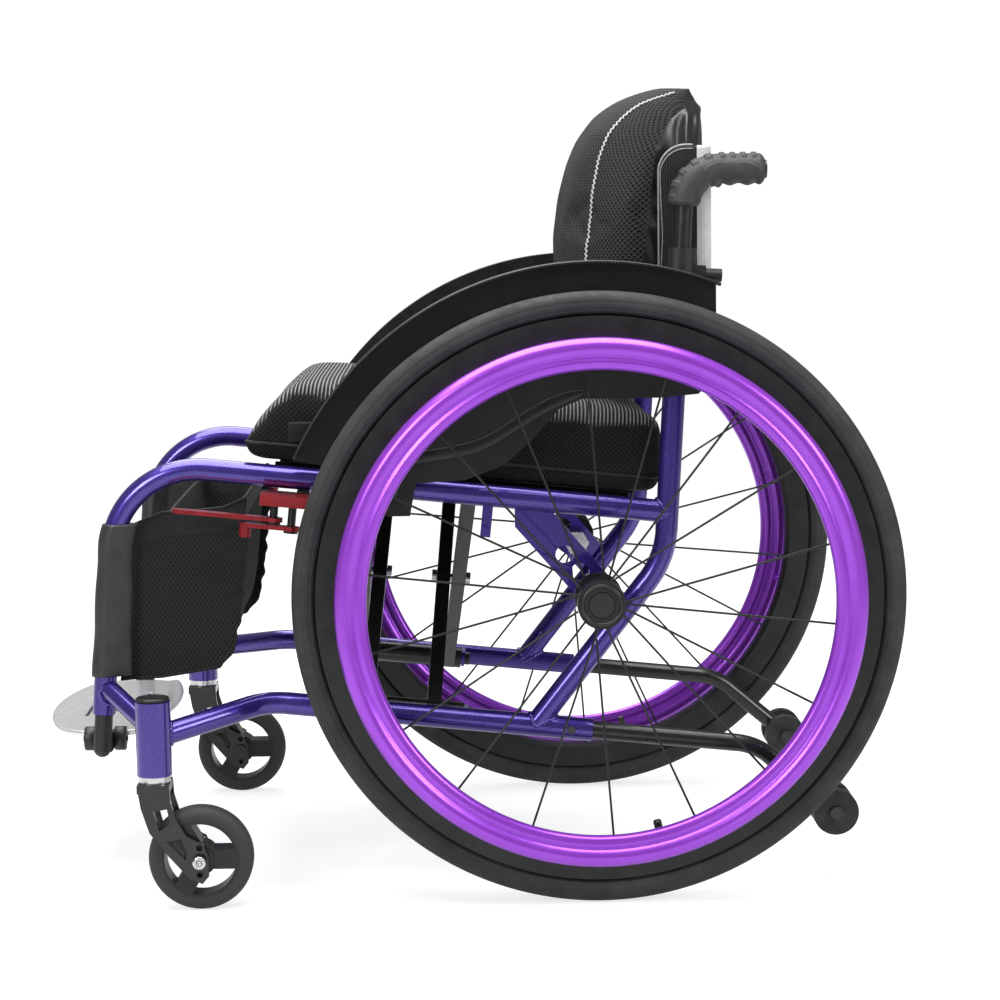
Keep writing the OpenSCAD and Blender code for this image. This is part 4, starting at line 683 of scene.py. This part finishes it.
sling_cloth = finish("plain_black_nylon", Sheen_Weight=0.3, Sheen_Roughness=0.4)
threads = lattice(sling_cloth, at(sling_cloth), 0.0016, 0.0016)
feed(sling_cloth, "Base Color", tint(sling_cloth, threads, (0.0, 0.008), (0.8, 0.02)))
rough(sling_cloth, 90, 0.7, 0.85)
relief(sling_cloth, threads, 0.3, 0.0003)
u, v = np.meshgrid(np.linspace(0, 1, 40), np.linspace(-1, 1, 48), indexing="ij")
rail_rear, rail_len, sling_half, sling_z, sag = -12.5, 348.0, 165, 236.9, 2.2
hang = sling_z - sag * (1 - v**2) * np.sin(np.pi * u) ** 0.5
seat_sheet = skin("seat_sling_cloth", row(tilted(stacked(rail_rear + rail_len * u, sling_half * v, hang))),
                  quads_of(40, 48), sling_cloth)
thicken(seat_sheet, 0.0016, 0)
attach(seat_sheet, "cushion")
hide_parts("seat_sling")
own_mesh(seat_sheet)


# Seat cushion: foam in a zipped cover, ribbed mesh on top and diamond air mesh on its sides.
# It lies on the sling; its sides draw in between the corners, piping runs round its hem, and a bare patch is sewn on.
def put_places(piece, points):
    """Writes the mesh's points back."""
    piece.data.vertices.foreach_set("co", np.asarray(points, np.float32).ravel())
    piece.data.update()


def settle(piece):
    """Applies the piece's modifiers; its material stays."""
    mat = piece.data.materials[0]
    mesh = bpy.data.meshes.new_from_object(piece.evaluated_get(bpy.context.evaluated_depsgraph_get()))
    piece.modifiers.clear()
    piece.data = mesh
    mesh.materials.clear()
    mesh.materials.append(mat)


def inflate(piece, cap):
    """An even remesh, then cloth under air pressure with no gravity; no point moves further than cap."""
    even = piece.modifiers.new("even", "REMESH")
    even.mode, even.voxel_size = "VOXEL", 0.005
    settle(piece)
    before = places_of(piece)
    air = piece.modifiers.new("air", "CLOTH")
    air.settings.use_pressure, air.settings.uniform_pressure_force = True, 4.0
    air.settings.effector_weights.gravity = 0
    for step in range(1, 21):
        bpy.context.scene.frame_set(step)
    settle(piece)
    move = places_of(piece) - before
    far = np.maximum(np.linalg.norm(move, axis=1, keepdims=True), 1e-9)
    put_places(piece, before + move * np.minimum(1, cap / far))
    bpy.context.scene.frame_set(1)
    piece.data.shade_smooth()


def smoother(piece):
    """One live subdivision."""
    fine = piece.modifiers.new("smooth", "SUBSURF")
    fine.levels = fine.render_levels = 1


CUSHION_Z, CUSHION_REAR, CUSHION_LEN, CUSHION_HALF, CUSHION_H, HEM_H = 238.4, -44, 418, 190, 73, 16
SLANT, CROWN, DRAWN_IN, CUSHION_SHRINK = 34, 8, 7, 1.5


def cushion_skin():
    """The cushion's two faces: a crowned top over a flat base, with slanted front, and both drawn in mid-side. It is
    made a little small, for the air to fill out."""
    u, v = np.meshgrid(dense_ends(61), dense_ends(61), indexing="ij")
    edge = rounded(u, 60) * rounded(v, 60)
    length = CUSHION_LEN - 2 * CUSHION_SHRINK
    base_x = CUSHION_REAR + CUSHION_SHRINK + (u + 1) / 2 * length - u * DRAWN_IN * (1 - v * v) / 2
    top_x = base_x - (u + 1) / 2 * SLANT * edge
    y = v * (CUSHION_HALF - CUSHION_SHRINK - DRAWN_IN * (1 - u * u) - 24 * np.maximum(0, -u) ** 12)
    hem_z = CUSHION_Z + HEM_H
    top = hem_z + (CUSHION_H - HEM_H - CUSHION_SHRINK) * edge + CROWN * (1 - u**8) * (1 - v**6)
    return stacked(top_x, y, top), stacked(base_x, y, hem_z - 0.3 - (HEM_H - 0.3) * edge)


cushion_cloth = finish("cushion_air_mesh", Specular_IOR_Level=0.15, Sheen_Weight=0.06, Sheen_Roughness=0.5)
weave = marked(cushion_cloth, "weave")
upward = marked(cushion_cloth, "upward", "Fac")
cells = lattice(cushion_cloth, weave, 0.0052, 0.0052)
ribs = lattice(cushion_cloth, weave, 0.0037, 50)
side_tone = tint(cushion_cloth, cells, (0.1, 0.014), (0.55, 0.003))
rib_tone = tint(cushion_cloth, ribs, (0.0, 0.01), (0.45, 0.09), (0.9, 0.26))
feed(cushion_cloth, "Base Color", blend(cushion_cloth, upward, side_tone, rib_tone))
rough(cushion_cloth, 90, 0.72, 0.88)
relief(cushion_cloth, blend(cushion_cloth, upward, cells, ribs, "FLOAT"), 0.5, 0.0007)
points, quads = pillow(*(row(tilted(face)) for face in cushion_skin()))
cushion = skin("cushion_cover", points, quads, cushion_cloth)
inflate(cushion, 0.004)
rail_up = np.array([-np.sin(TILT), 0, np.cos(TILT)])


def untilted(points):
    """From the shared frame back to the rails' own frame, in metres."""
    p = np.asarray(points) + (MID_X * 0.001, 0, -RAIL_Z * 0.001)
    c, s = np.cos(TILT), np.sin(TILT)
    return stacked(p[:, 0] * c + p[:, 2] * s, p[:, 1], -p[:, 0] * s + p[:, 2] * c)


def flat_below(points, level):
    """Lifts points that bulge below the level that the piece rests on, square to the rails."""
    return points + np.maximum(0, level - untilted(points)[:, 2])[:, None] * rail_up


put_places(cushion, flat_below(places_of(cushion), CUSHION_Z * 0.001))
local = untilted(places_of(cushion))
faces = places_of(cushion, "normal")
facing = faces @ rail_up
end_on = (np.abs(faces[:, 0]) > np.abs(faces[:, 1])) & (facing < 0.4)
mark(cushion, "upward", ramp_up(facing, 0.34, 0.46))
mark(cushion, "weave", stacked(np.where(end_on, local[:, 1], local[:, 0]),
                               np.where(facing > 0.6, local[:, 1], local[:, 2]), local[:, 1]))
smoother(cushion)
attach(cushion, "cushion")
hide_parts("seat_cushion")
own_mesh(cushion)


def laid_on(path, target, lift):
    """The same points moved to the nearest place on the target's surface, lift metres above it."""
    guide = skin("guide", path, np.zeros((0, 4), int), cushion_cloth)
    wrap = guide.modifiers.new("wrap", "SHRINKWRAP")
    wrap.target, wrap.offset, wrap.wrap_mode = target, lift, "ABOVE_SURFACE"
    settle(guide)
    found = places_of(guide)
    bpy.data.objects.remove(guide)
    return found


piping = mottled("black_piping", (120, 0.006, 0.014), (300, 0.5, 0.68), (1800, 0.2, 0.0003), Specular_IOR_Level=0.35)
hem = laid_on(row(tilted(border_of(cushion_skin()[0]))), cushion, 0.0004)
hem_points, hem_quads = sweep(hem, 0.0019, 8, rail_up, True)
patch_x, patch_z = np.meshgrid(np.linspace(271, 298, 14), np.linspace(443, 464, 10), indexing="ij")
patch = row(stacked(patch_x, 189, patch_z))
patch = laid_on(patch.reshape(-1, 3), cushion, 0.0008).reshape(patch.shape)
points, quads = joined([(hem_points, hem_quads), pillow(patch, patch - (0, 0.0012, 0))])
trim = skin("cushion_trim", points, quads, piping)
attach(trim, "cushion")
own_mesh(trim)


# Back pad: a foam pad in black air mesh, with glossy leathercloth round its sides and back.
# A white zigzag seam joins its front and side panels.
PAD_FRONT = np.array([[0, 0.42], [0.08, 0.66], [0.2, 0.9], [0.36, 1.03], [0.5, 1.03], [0.66, 0.97], [0.77, 0.9],
                      [0.85, 0.8], [0.91, 0.64], [0.95, 0.49], [0.972, 0.32], [0.99, 0.15], [1, -0.12]])
PAD_REAR = np.array([[0, 0.08], [0.25, -0.1], [0.5, -0.2], [0.68, -0.245], [0.84, -0.26], [0.92, -0.26],
                     [0.955, -0.25], [0.985, -0.23], [1, -0.19]])
PAD_X, PAD_DEPTH, PAD_Z, PAD_H, PAD_HALF, PAD_SHRINK, PAD_MIDDLE = -87, 108, 478, 311, 158, 2, 0.42


def pad_skin():
    """The pad's front and rear faces over height share h and width share v, from two tables of depth shares. It is
    made a little small, for the air to fill out."""
    w, v = np.meshgrid(dense_ends(61), dense_ends(61), indexing="ij")
    h = (1 + w) / 2
    front = PAD_X - PAD_SHRINK + PAD_DEPTH * np.interp(h, *PAD_FRONT.T)
    rear = PAD_X + PAD_SHRINK / 2 + PAD_DEPTH * np.interp(h, *PAD_REAR.T)
    y = v * (PAD_HALF - PAD_SHRINK) * (1 - np.abs(w) ** 6 * 0.12)
    z = PAD_Z + PAD_SHRINK + h * (PAD_H - 2 * PAD_SHRINK)
    middle = rear + PAD_MIDDLE * (front - rear)
    edge = rounded(v, 8) * rounded(w, 24)
    return (stacked(middle + (front - middle) * edge, y, z),
            stacked(middle + (rear - middle) * edge - 0.3, y, z))


pad_cloth = finish("back_pad_cover")
weave = marked(pad_cloth, "weave")
leather = marked(pad_cloth, "leather", "Fac")
is_leather = tint(pad_cloth, leather, (0.495, 0.0), (0.505, 1.0))
cells = lattice(pad_cloth, weave, 0.005, 0.005)
mesh_tone = tint(pad_cloth, cells, (0.0, 0.044), (0.35, 0.028), (0.6, 0.003))
hide_tone = tint(pad_cloth, cloudy(pad_cloth, 60, 5), (0.3, 0.01), (0.7, 0.022))
feed(pad_cloth, "Base Color", blend(pad_cloth, is_leather, mesh_tone, hide_tone))
feed(pad_cloth, "Roughness", tint(pad_cloth, leather, (0.495, 0.8), (0.505, 0.27)))
feed(pad_cloth, "Specular IOR Level", tint(pad_cloth, leather, (0.495, 0.15), (0.505, 0.75)))
grain = times(pad_cloth, cloudy(pad_cloth, 700, 4), 0.2)
relief(pad_cloth, blend(pad_cloth, is_leather, cells, grain, "FLOAT"), 0.5, 0.0007)
points, quads = pillow(*(row(face) for face in pad_skin()))
pad = skin("back_pad_cover", points, quads, pad_cloth)
inflate(pad, 0.005)
LEATHER_EDGE = np.array([[478, -38], [560, -46], [614, -51.7], [645, -54.9], [675, -59], [723, -64.2], [742, -72.2],
                         [754, -81], [767, -98.8], [774, -108], [790, -125]])
spots = places_of(pad) + (MID_X * 0.001, 0, 0)
behind = np.interp(spots[:, 2], *(LEATHER_EDGE.T * 0.001)) - spots[:, 0]
crease = np.sin(spots[:, 2] * 150 + 9 * np.sin(spots[:, 0] * 60) + 3 * np.sin(spots[:, 2] * 47))
soft = ramp_up(behind, 0.002, 0.012) * (1 - ramp_up(behind, 0.03, 0.05))
put_places(pad, places_of(pad) + places_of(pad, "normal") * (0.0024 * crease * soft)[:, None])
SLING_FACE_X = -0.2483
put_places(pad, np.maximum(places_of(pad), (SLING_FACE_X, -1, -1)))
spots = places_of(pad) + (MID_X * 0.001, 0, 0)
front_x = np.interp((spots[:, 2] * 1000 - PAD_Z) / PAD_H, *PAD_FRONT.T) * PAD_DEPTH * 0.001 + PAD_X * 0.001
wrap = np.sign(spots[:, 1]) * np.maximum(0, front_x - spots[:, 0]) * ramp_up(np.abs(spots[:, 1]), 0.1, 0.145)
mark(pad, "weave", stacked(spots[:, 1] + wrap, spots[:, 2] * 0.9, spots[:, 0]))
mark(pad, "leather", np.clip(0.5 + behind * 10, 0, 1))
smoother(pad)
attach(pad, "left_frame")
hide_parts("back_pad")
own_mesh(pad)

white_thread = finish("white_thread", Sheen_Weight=0.2, Roughness=0.7)
feed(white_thread, "Base Color", tint(white_thread, cloudy(white_thread, 400), (0.3, 0.42), (0.7, 0.62)))
relief(white_thread, cloudy(white_thread, 2500), 0.2, 0.0003)
SEAM_V = 0.905
h = np.linspace(0.02, 0.99, 420)
rear_x = PAD_X + PAD_DEPTH * np.interp(h, *PAD_REAR.T)
front_x = PAD_X - PAD_SHRINK + PAD_DEPTH * np.interp(h, *PAD_FRONT.T)
middle = rear_x + PAD_MIDDLE * (front_x - rear_x)
seam_x = smoothed(middle + (front_x - middle) * rounded(SEAM_V, 8) * rounded(2 * h - 1, 24))
seam_z = PAD_Z + PAD_SHRINK + h * (PAD_H - 2 * PAD_SHRINK)
run = np.concatenate([[0], np.cumsum(np.hypot(np.diff(seam_x), np.diff(seam_z)))])
zigzag = 1.7 * (4 * np.abs((run / 4.8) % 1 - 0.5) - 1)
for side_name, side in SIDES:
    path = stacked(seam_x, (PAD_HALF - PAD_SHRINK) * SEAM_V + zigzag, seam_z)
    path = laid_on(row(flipped(path, side)), pad, 0.0006)
    points, quads = sweep(path, 0.0009, 6, path - row((-75, 0, 620)))
    seam = skin("pad_seam_" + side_name, points, quads, white_thread)
    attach(seam, "left_frame")
    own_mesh(seam)


# Back sling: a strip of ribbed cloth that runs behind the pad and wraps forward inside the canes.
# Its rear face behind the pad is painted pale grey as a painted highlight where back light falls on it, and a bright
# double binding edges its wings.
sling_mat = finish("ribbed_back_cloth", Specular_IOR_Level=0.35, Sheen_Weight=0.12, Sheen_Roughness=0.4)
run_mark = marked(sling_mat, "run")
parts = add(sling_mat, "SeparateXYZ", {0: run_mark})
fine_ribs = lattice(sling_mat, run_mark, 0.0026, 50)
cloth_tone = tint(sling_mat, fine_ribs, (0.0, (0.006, 0.006, 0.008)), (0.7, (0.018, 0.019, 0.023)))
# Pale grey over the rear face behind the pad, with the wings' fronts left dark: a painted highlight where back light
# falls on the cloth.
backlight_highlight = tint(sling_mat, parts.outputs["Z"], (0.49, 0.0), (0.51, 1.0))
pale = tint(sling_mat, cloudy(sling_mat, 90), (0.3, 0.6), (0.7, 0.7))
feed(sling_mat, "Base Color", blend(sling_mat, backlight_highlight, cloth_tone, pale))
rough(sling_mat, 120, 0.6, 0.78)
relief(sling_mat, fine_ribs, 0.35, 0.0004)
WING_Y, WING_LOW, SLING_REAR, SLING_TOP, BOW_R, HIGHLIGHT_FROM = 165.0, 482, -117.0, 727.0, 26, 37
corner_r = 9.0
a = np.linspace(0, np.pi / 2, 14)[1:-1]
wing_run = np.linspace(-66.8, SLING_REAR + corner_r, 34)
half_path = np.concatenate([
    stacked(wing_run, WING_Y),
    stacked(SLING_REAR + corner_r - corner_r * np.sin(a), WING_Y - corner_r + corner_r * np.cos(a)),
    stacked(SLING_REAR, np.linspace(WING_Y - corner_r, 0, 41)[:-1])])
plan = np.concatenate([half_path, [[SLING_REAR, 0]], half_path[::-1] * (1, -1)])
run = np.concatenate([[0], np.cumsum(np.linalg.norm(np.diff(plan, axis=0), axis=1))])
from_front = np.minimum(run, run[-1] - run)
low_edge = np.interp(from_front, [0, 24, 46, 400], [WING_LOW, WING_LOW, 600, 600])
high_edge = SLING_TOP - BOW_R * (1 - np.sqrt(np.maximum(0, 1 - np.maximum(0, 1 - from_front / BOW_R) ** 2)))
share = np.linspace(0, 1, 44)
heights = low_edge[:, None] + (high_edge - low_edge)[:, None] * share
points = stacked(plan[:, :1], plan[:, 1:], heights)
back_sheet = skin("back_sling_cloth", row(points), quads_of(len(plan), 44), sling_mat)
# The third share marks the part of the rear face that carries the painted highlight.
runs = stacked(run[:, None] * 0.001, heights * 0.001, np.clip(0.5 + (from_front[:, None] - HIGHLIGHT_FROM) / 4, 0, 1))
mark(back_sheet, "run", runs.reshape(-1, 3))
thicken(back_sheet, 0.003, 0)
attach(back_sheet, "left_frame")
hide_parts("back_sling")
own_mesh(back_sheet)

binding = mottled("silver_binding", (300, 0.2, 0.34), (150, 0.35, 0.5), (1500, 0.2, 0.0003), Metallic=0.3)
BOW_X, BOW_Z, bound_r = -92.8, SLING_TOP - BOW_R, BOW_R + 0.4
front = stacked(BOW_X + bound_r, WING_Y, WING_LOW + (BOW_Z - WING_LOW) * share)
b = np.linspace(0, np.pi / 2, 24)
bow = stacked(BOW_X + bound_r * np.cos(b), WING_Y, BOW_Z + bound_r * np.sin(b))
top = stacked(np.linspace(BOW_X, -100, 6)[1:], WING_Y, BOW_Z + bound_r)
path = np.concatenate([front[:-1], bow, top])
outward = unit(path - (BOW_X, WING_Y, 640)) * (1, 0, 1)
bindings = joined([sweep(path, 1.3, 8, ACROSS), sweep(path + (0, 1.7, 0) - 3.6 * outward, 0.6, 8, ACROSS)])
for side_name, trim in both_sides("sling_binding", bindings, binding):
    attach(trim, "left_frame")
    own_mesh(trim)


# Push handles: bent tube with a moulded rubber grip, ridged on top and notched for the fingers below.
# The grip is slipped on, and ends in a rounded nose.
grip_mat = mottled("grey_grip_rubber", (70, 0.03, 0.048, 5), (200, 0.46, 0.62), (1200, 0.15, 0.0003),
                   Specular_IOR_Level=0.4)
GRIP_LOW, GRIP_TOP, GRIP_REACH, GRIP_R, NOSE = 668.9, 703, 78, 15.6, 9


def grip_skin():
    """A ring of radius r(s, a) carried along a bend; r rises in nine ridges above, dips for fingers below,
    carries a thin oval on each side and rounds off at the end."""
    bend_r, start = 34.0, np.pi / 2 + CANE_LEAN
    turn = np.pi - start
    tangent_len = bend_r * np.tan(turn / 2)
    straight = (GRIP_TOP - GRIP_LOW) / np.cos(CANE_LEAN) - tangent_len
    total = straight + bend_r * turn + (GRIP_REACH - tangent_len)
    round_end = total - NOSE * np.cos(np.linspace(0.1, np.pi / 2, 14))
    s = np.concatenate([[0], np.linspace(0, total - NOSE, 190), round_end, [total]])
    swing = np.clip((s - straight) / bend_r, 0, turn)
    heading = start + swing
    first, last = np.minimum(s, straight), np.maximum(0, s - straight - bend_r * turn)
    x = cane_at(GRIP_LOW)[0] + first * np.cos(start) + bend_r * (np.sin(heading) - np.sin(start)) - last
    z = GRIP_LOW + first * np.sin(start) - bend_r * (np.cos(heading) - np.cos(start))
    a = np.linspace(0, 2 * np.pi, 96, endpoint=False)
    S, A = np.meshgrid(s, a, indexing="ij")
    over = np.abs(np.angle(np.exp(1j * A)))
    under = np.pi - over
    nose = np.clip((S - (total - NOSE)) / NOSE, 0, 1)
    r = GRIP_R * np.sqrt(np.maximum(0, 1 - nose**2.2))
    r = r * (1 - 0.12 * np.clip(1 - S / 3, 0, 1))
    body = ramp_up(S, 4, 10) * (1 - ramp_up(S, total - 12, total - 5))
    pulse = ramp_up(np.cos(2 * np.pi * (S - 5) / 10.2), -0.25, 0.35)
    r = r + body * 1.5 * pulse * (1 - ramp_up(over, 0.62, 0.8)) - body * 0.3 * (1 - ramp_up(over, 0.8, 1.0))
    fingers = (0.5 - 0.5 * np.cos(2 * np.pi * (S - 30) / 17)) * (1 - ramp_up(under, 0.5, 1.1)) * ramp_up(S, 30, 38)
    r = r - body * 2.2 * fingers
    oval = np.hypot((S - 0.64 * total) / 24, (over - np.pi / 2 + 0.1) / 0.34)
    r = r + 0.6 * dip(oval, 1.0, 0.22) + 0.25 * (oval < 1)
    r[0] = r[-1] = 0
    n, centre = stacked(np.sin(heading), 0, -np.cos(heading)), stacked(x, FRAME_Y, z)
    ring = np.cos(A)[..., None] * n[:, None] + np.sin(A)[..., None] * np.array(ACROSS)
    return (centre[:, None] + r[..., None] * ring).reshape(-1, 3), quads_of(len(s), 96, False, True)


for side_name, grip in both_sides("grip_cover", grip_skin(), grip_mat):
    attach(grip, "handle_" + side_name)
    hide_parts("grip_" + side_name)


# Calf bag: a pouch of black knitted mesh hung behind the legs, open at the top.
# Smooth sleeves wrap the front legs, and flat wings join them to the pouch.
bag_cloth = finish("knitted_bag_mesh", Specular_IOR_Level=0.3, Sheen_Weight=0.06, Sheen_Roughness=0.5)
turns = marked(bag_cloth, "turns")
hemmed = add(bag_cloth, "SeparateXYZ", {0: turns}).outputs["Z"]
knit = lattice(bag_cloth, turns, 0.0044, 0.0064)
knit_tone = tint(bag_cloth, knit, (0.0, 0.016), (0.6, 0.003))
hem_tone = tint(bag_cloth, cloudy(bag_cloth, 150), (0.3, 0.006), (0.7, 0.011))
feed(bag_cloth, "Base Color", blend(bag_cloth, hemmed, knit_tone, hem_tone))
feed(bag_cloth, "Roughness", tint(bag_cloth, hemmed, (0.4, 0.82), (0.6, 0.55)))
relief(bag_cloth, blend(bag_cloth, hemmed, knit, cloudy(bag_cloth, 900), "FLOAT"), 0.6, 0.0008)
BAG_REAR = np.array([[210, 374], [222, 361], [234, 356], [264, 351], [297, 347.5], [321, 345], [356, 344],
                     [392, 343]])
BAG_FOOT = np.array([[342, 232], [360, 226], [372, 221], [429, 212.5], [463, 211.5], [500, 211]])
BAG_RIM = np.array([[342, 389], [364, 380], [392, 377], [424, 376], [440, 370], [457, 363], [500, 362]])
BAG_FRONT, BAG_HALF, BAG_EDGE, BAG_LOW, BAG_H = 422, 169.5, 14, 217, 160


def pouch():
    """A rounded-box loft over angle a and height share h: a superellipse plan that grows from the bottom's middle,
    rounds over the lower edge, swells half-way up and leans back to the rim; its foot slopes up to the rear."""
    a = np.linspace(0, 2 * np.pi, 160, endpoint=False)
    h = np.concatenate([np.linspace(0, 0.96, 12), np.linspace(1, 2, 40)])
    H, A = np.meshgrid(h, a, indexing="ij")
    low, up = np.clip(H, 0, 1), np.clip(H - 1, 0, 1)
    grow = np.where(H < 1, 1 - (1 - low) ** 2, 1.0)
    rear = np.interp(BAG_LOW + BAG_H * up, *BAG_REAR.T) + 3
    middle, half_x = (BAG_FRONT + rear) / 2, (BAG_FRONT - rear) / 2
    plan_x, plan_y = (np.sign(c) * np.abs(c) ** (2 / 7) for c in (np.cos(A), np.sin(A)))
    slack = 1.6 * np.sin(7 * A + 2 * up) * np.sin(np.pi * up)
    x = middle + grow * (half_x * plan_x + slack * (np.cos(A) < 0))
    y = grow * BAG_HALF * (1 - 0.02 * np.sin(np.pi * up)) * plan_y
    foot, rim = np.interp(x, *BAG_FOOT.T) + 2, np.interp(x, *BAG_RIM.T)
    edge = BAG_EDGE * np.where(H < 1, np.maximum(0, low - 0.5) ** 2 * 4, 1 + 0 * H)
    z = foot + edge + (rim - foot - BAG_EDGE) * up - 2.5 * up**4 * (1 - np.abs(np.sin(A)) ** 4)
    return stacked(x, y, z)


def knit_marks(piece, extra=0.0):
    """For the weave: length round the bag, height, and one on the smooth hem below the rim."""
    spots = spots_of(piece)
    round_it = np.where(np.abs(spots[:, 1]) > 162, spots[:, 0], 350 - np.abs(170 - np.abs(spots[:, 1])))
    hem = np.maximum(ramp_up(spots[:, 2] - np.interp(spots[:, 0], *BAG_RIM.T), -23, -21.5), extra)
    mark(piece, "turns", stacked(round_it * 0.001, spots[:, 2] * 0.001, hem))


shape = pouch()
bag = skin("calf_pouch", row(shape), quads_of(len(shape), 160, False, True), bag_cloth)
thicken(bag, 0.0022, -1)
knit_marks(bag)
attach(bag, "left_frame")
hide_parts("calf_bag")
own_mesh(bag)

sleeve_mat = mottled("smooth_sleeve", (50, 0.016, 0.03, 5), (150, 0.4, 0.56), (900, 0.15, 0.0004),
                     Coat_Weight=0.15, Coat_Roughness=0.3)
SLEEVE_LOW, SLEEVE_LEN, SLEEVE_R, SLEEVE_BEND = 217, 150, 13.4, 341
SHEET_LOW, SHEET_H, SHEET_Y, SHEET_T = 213, 170, 171.3, 1.6


def sleeve_skin():
    """A tube round the leg over height and angle a: a slightly creased circle, drawn out to a tail at the rear where
    it meets the wing, following the leg's bend at the top, and closed at both ends."""
    Z, A = np.meshgrid(SLEEVE_LOW + SLEEVE_LEN * np.linspace(0, 1, 60), np.linspace(0, 2 * np.pi, 72, endpoint=False),
                       indexing="ij")
    tail = np.maximum(0, -np.cos(A)) ** 2 * 12 * (1 - 0.4 * (Z - SLEEVE_LOW) / SLEEVE_LEN)
    r = SLEEVE_R + 0.5 * np.sin(Z * 0.09 + 2 * np.sin(A))
    bend = np.maximum(0, Z - SLEEVE_BEND) ** 2 / 170
    x = leg_at(Z)[..., 0] - bend + r * np.cos(A) - tail
    y = FRAME_Y + r * np.sin(A) * (1 - 0.25 * np.maximum(0, -np.cos(A)))
    outer = stacked(x, y, Z)
    ends = outer.mean(1, keepdims=True)
    shell = np.concatenate([np.repeat(ends[:1], 72, 1), outer, np.repeat(ends[-1:], 72, 1)])
    return shell.reshape(-1, 3), quads_of(62, 72, False, True)


def wing_skin():
    """A thin sheet from the pouch's rear edge to the leg over shares w and s, between the bag's foot and rim, ruffled
    at its rear edge, with a round edging on three sides."""
    W, S = np.meshgrid(np.linspace(0, 1, 50), np.linspace(0, 1, 60), indexing="ij")
    level = SHEET_LOW + SHEET_H * S
    x = np.interp(level, *BAG_REAR.T) * (1 - W) + (leg_at(level)[..., 0] - 14) * W
    foot, rim = np.interp(x, *BAG_FOOT.T), np.interp(x, *BAG_RIM.T)
    ruffle = (np.sin(level * 0.24) + 0.7 * np.sin(level * 0.41 + 1)) * (1 - W) ** 5
    y = SHEET_Y + 0.5 * np.sin(S * 9 + W * 5) * W + 6 * W**6 + 0.6 * ruffle
    sheet = stacked(x + ruffle, y, foot + (rim - foot) * S)
    edging = [sweep(line, 1.5, 8, ACROSS) for line in (sheet[:, 0], sheet[:, -1], sheet[0])]
    return joined([pillow(sheet, sheet - (0, SHEET_T, 0)), *edging])


for (side_name, sleeve), (_, wing) in zip(both_sides("leg_sleeve", sleeve_skin(), sleeve_mat),
                                          both_sides("bag_wing", wing_skin(), bag_cloth)):
    spots = spots_of(wing)
    knit_marks(wing, ramp_up(spots[:, 0] - leg_at(spots[:, 2])[:, 0], -25, -23.5))
    for piece in (sleeve, wing):
        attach(piece, side_name + "_frame")
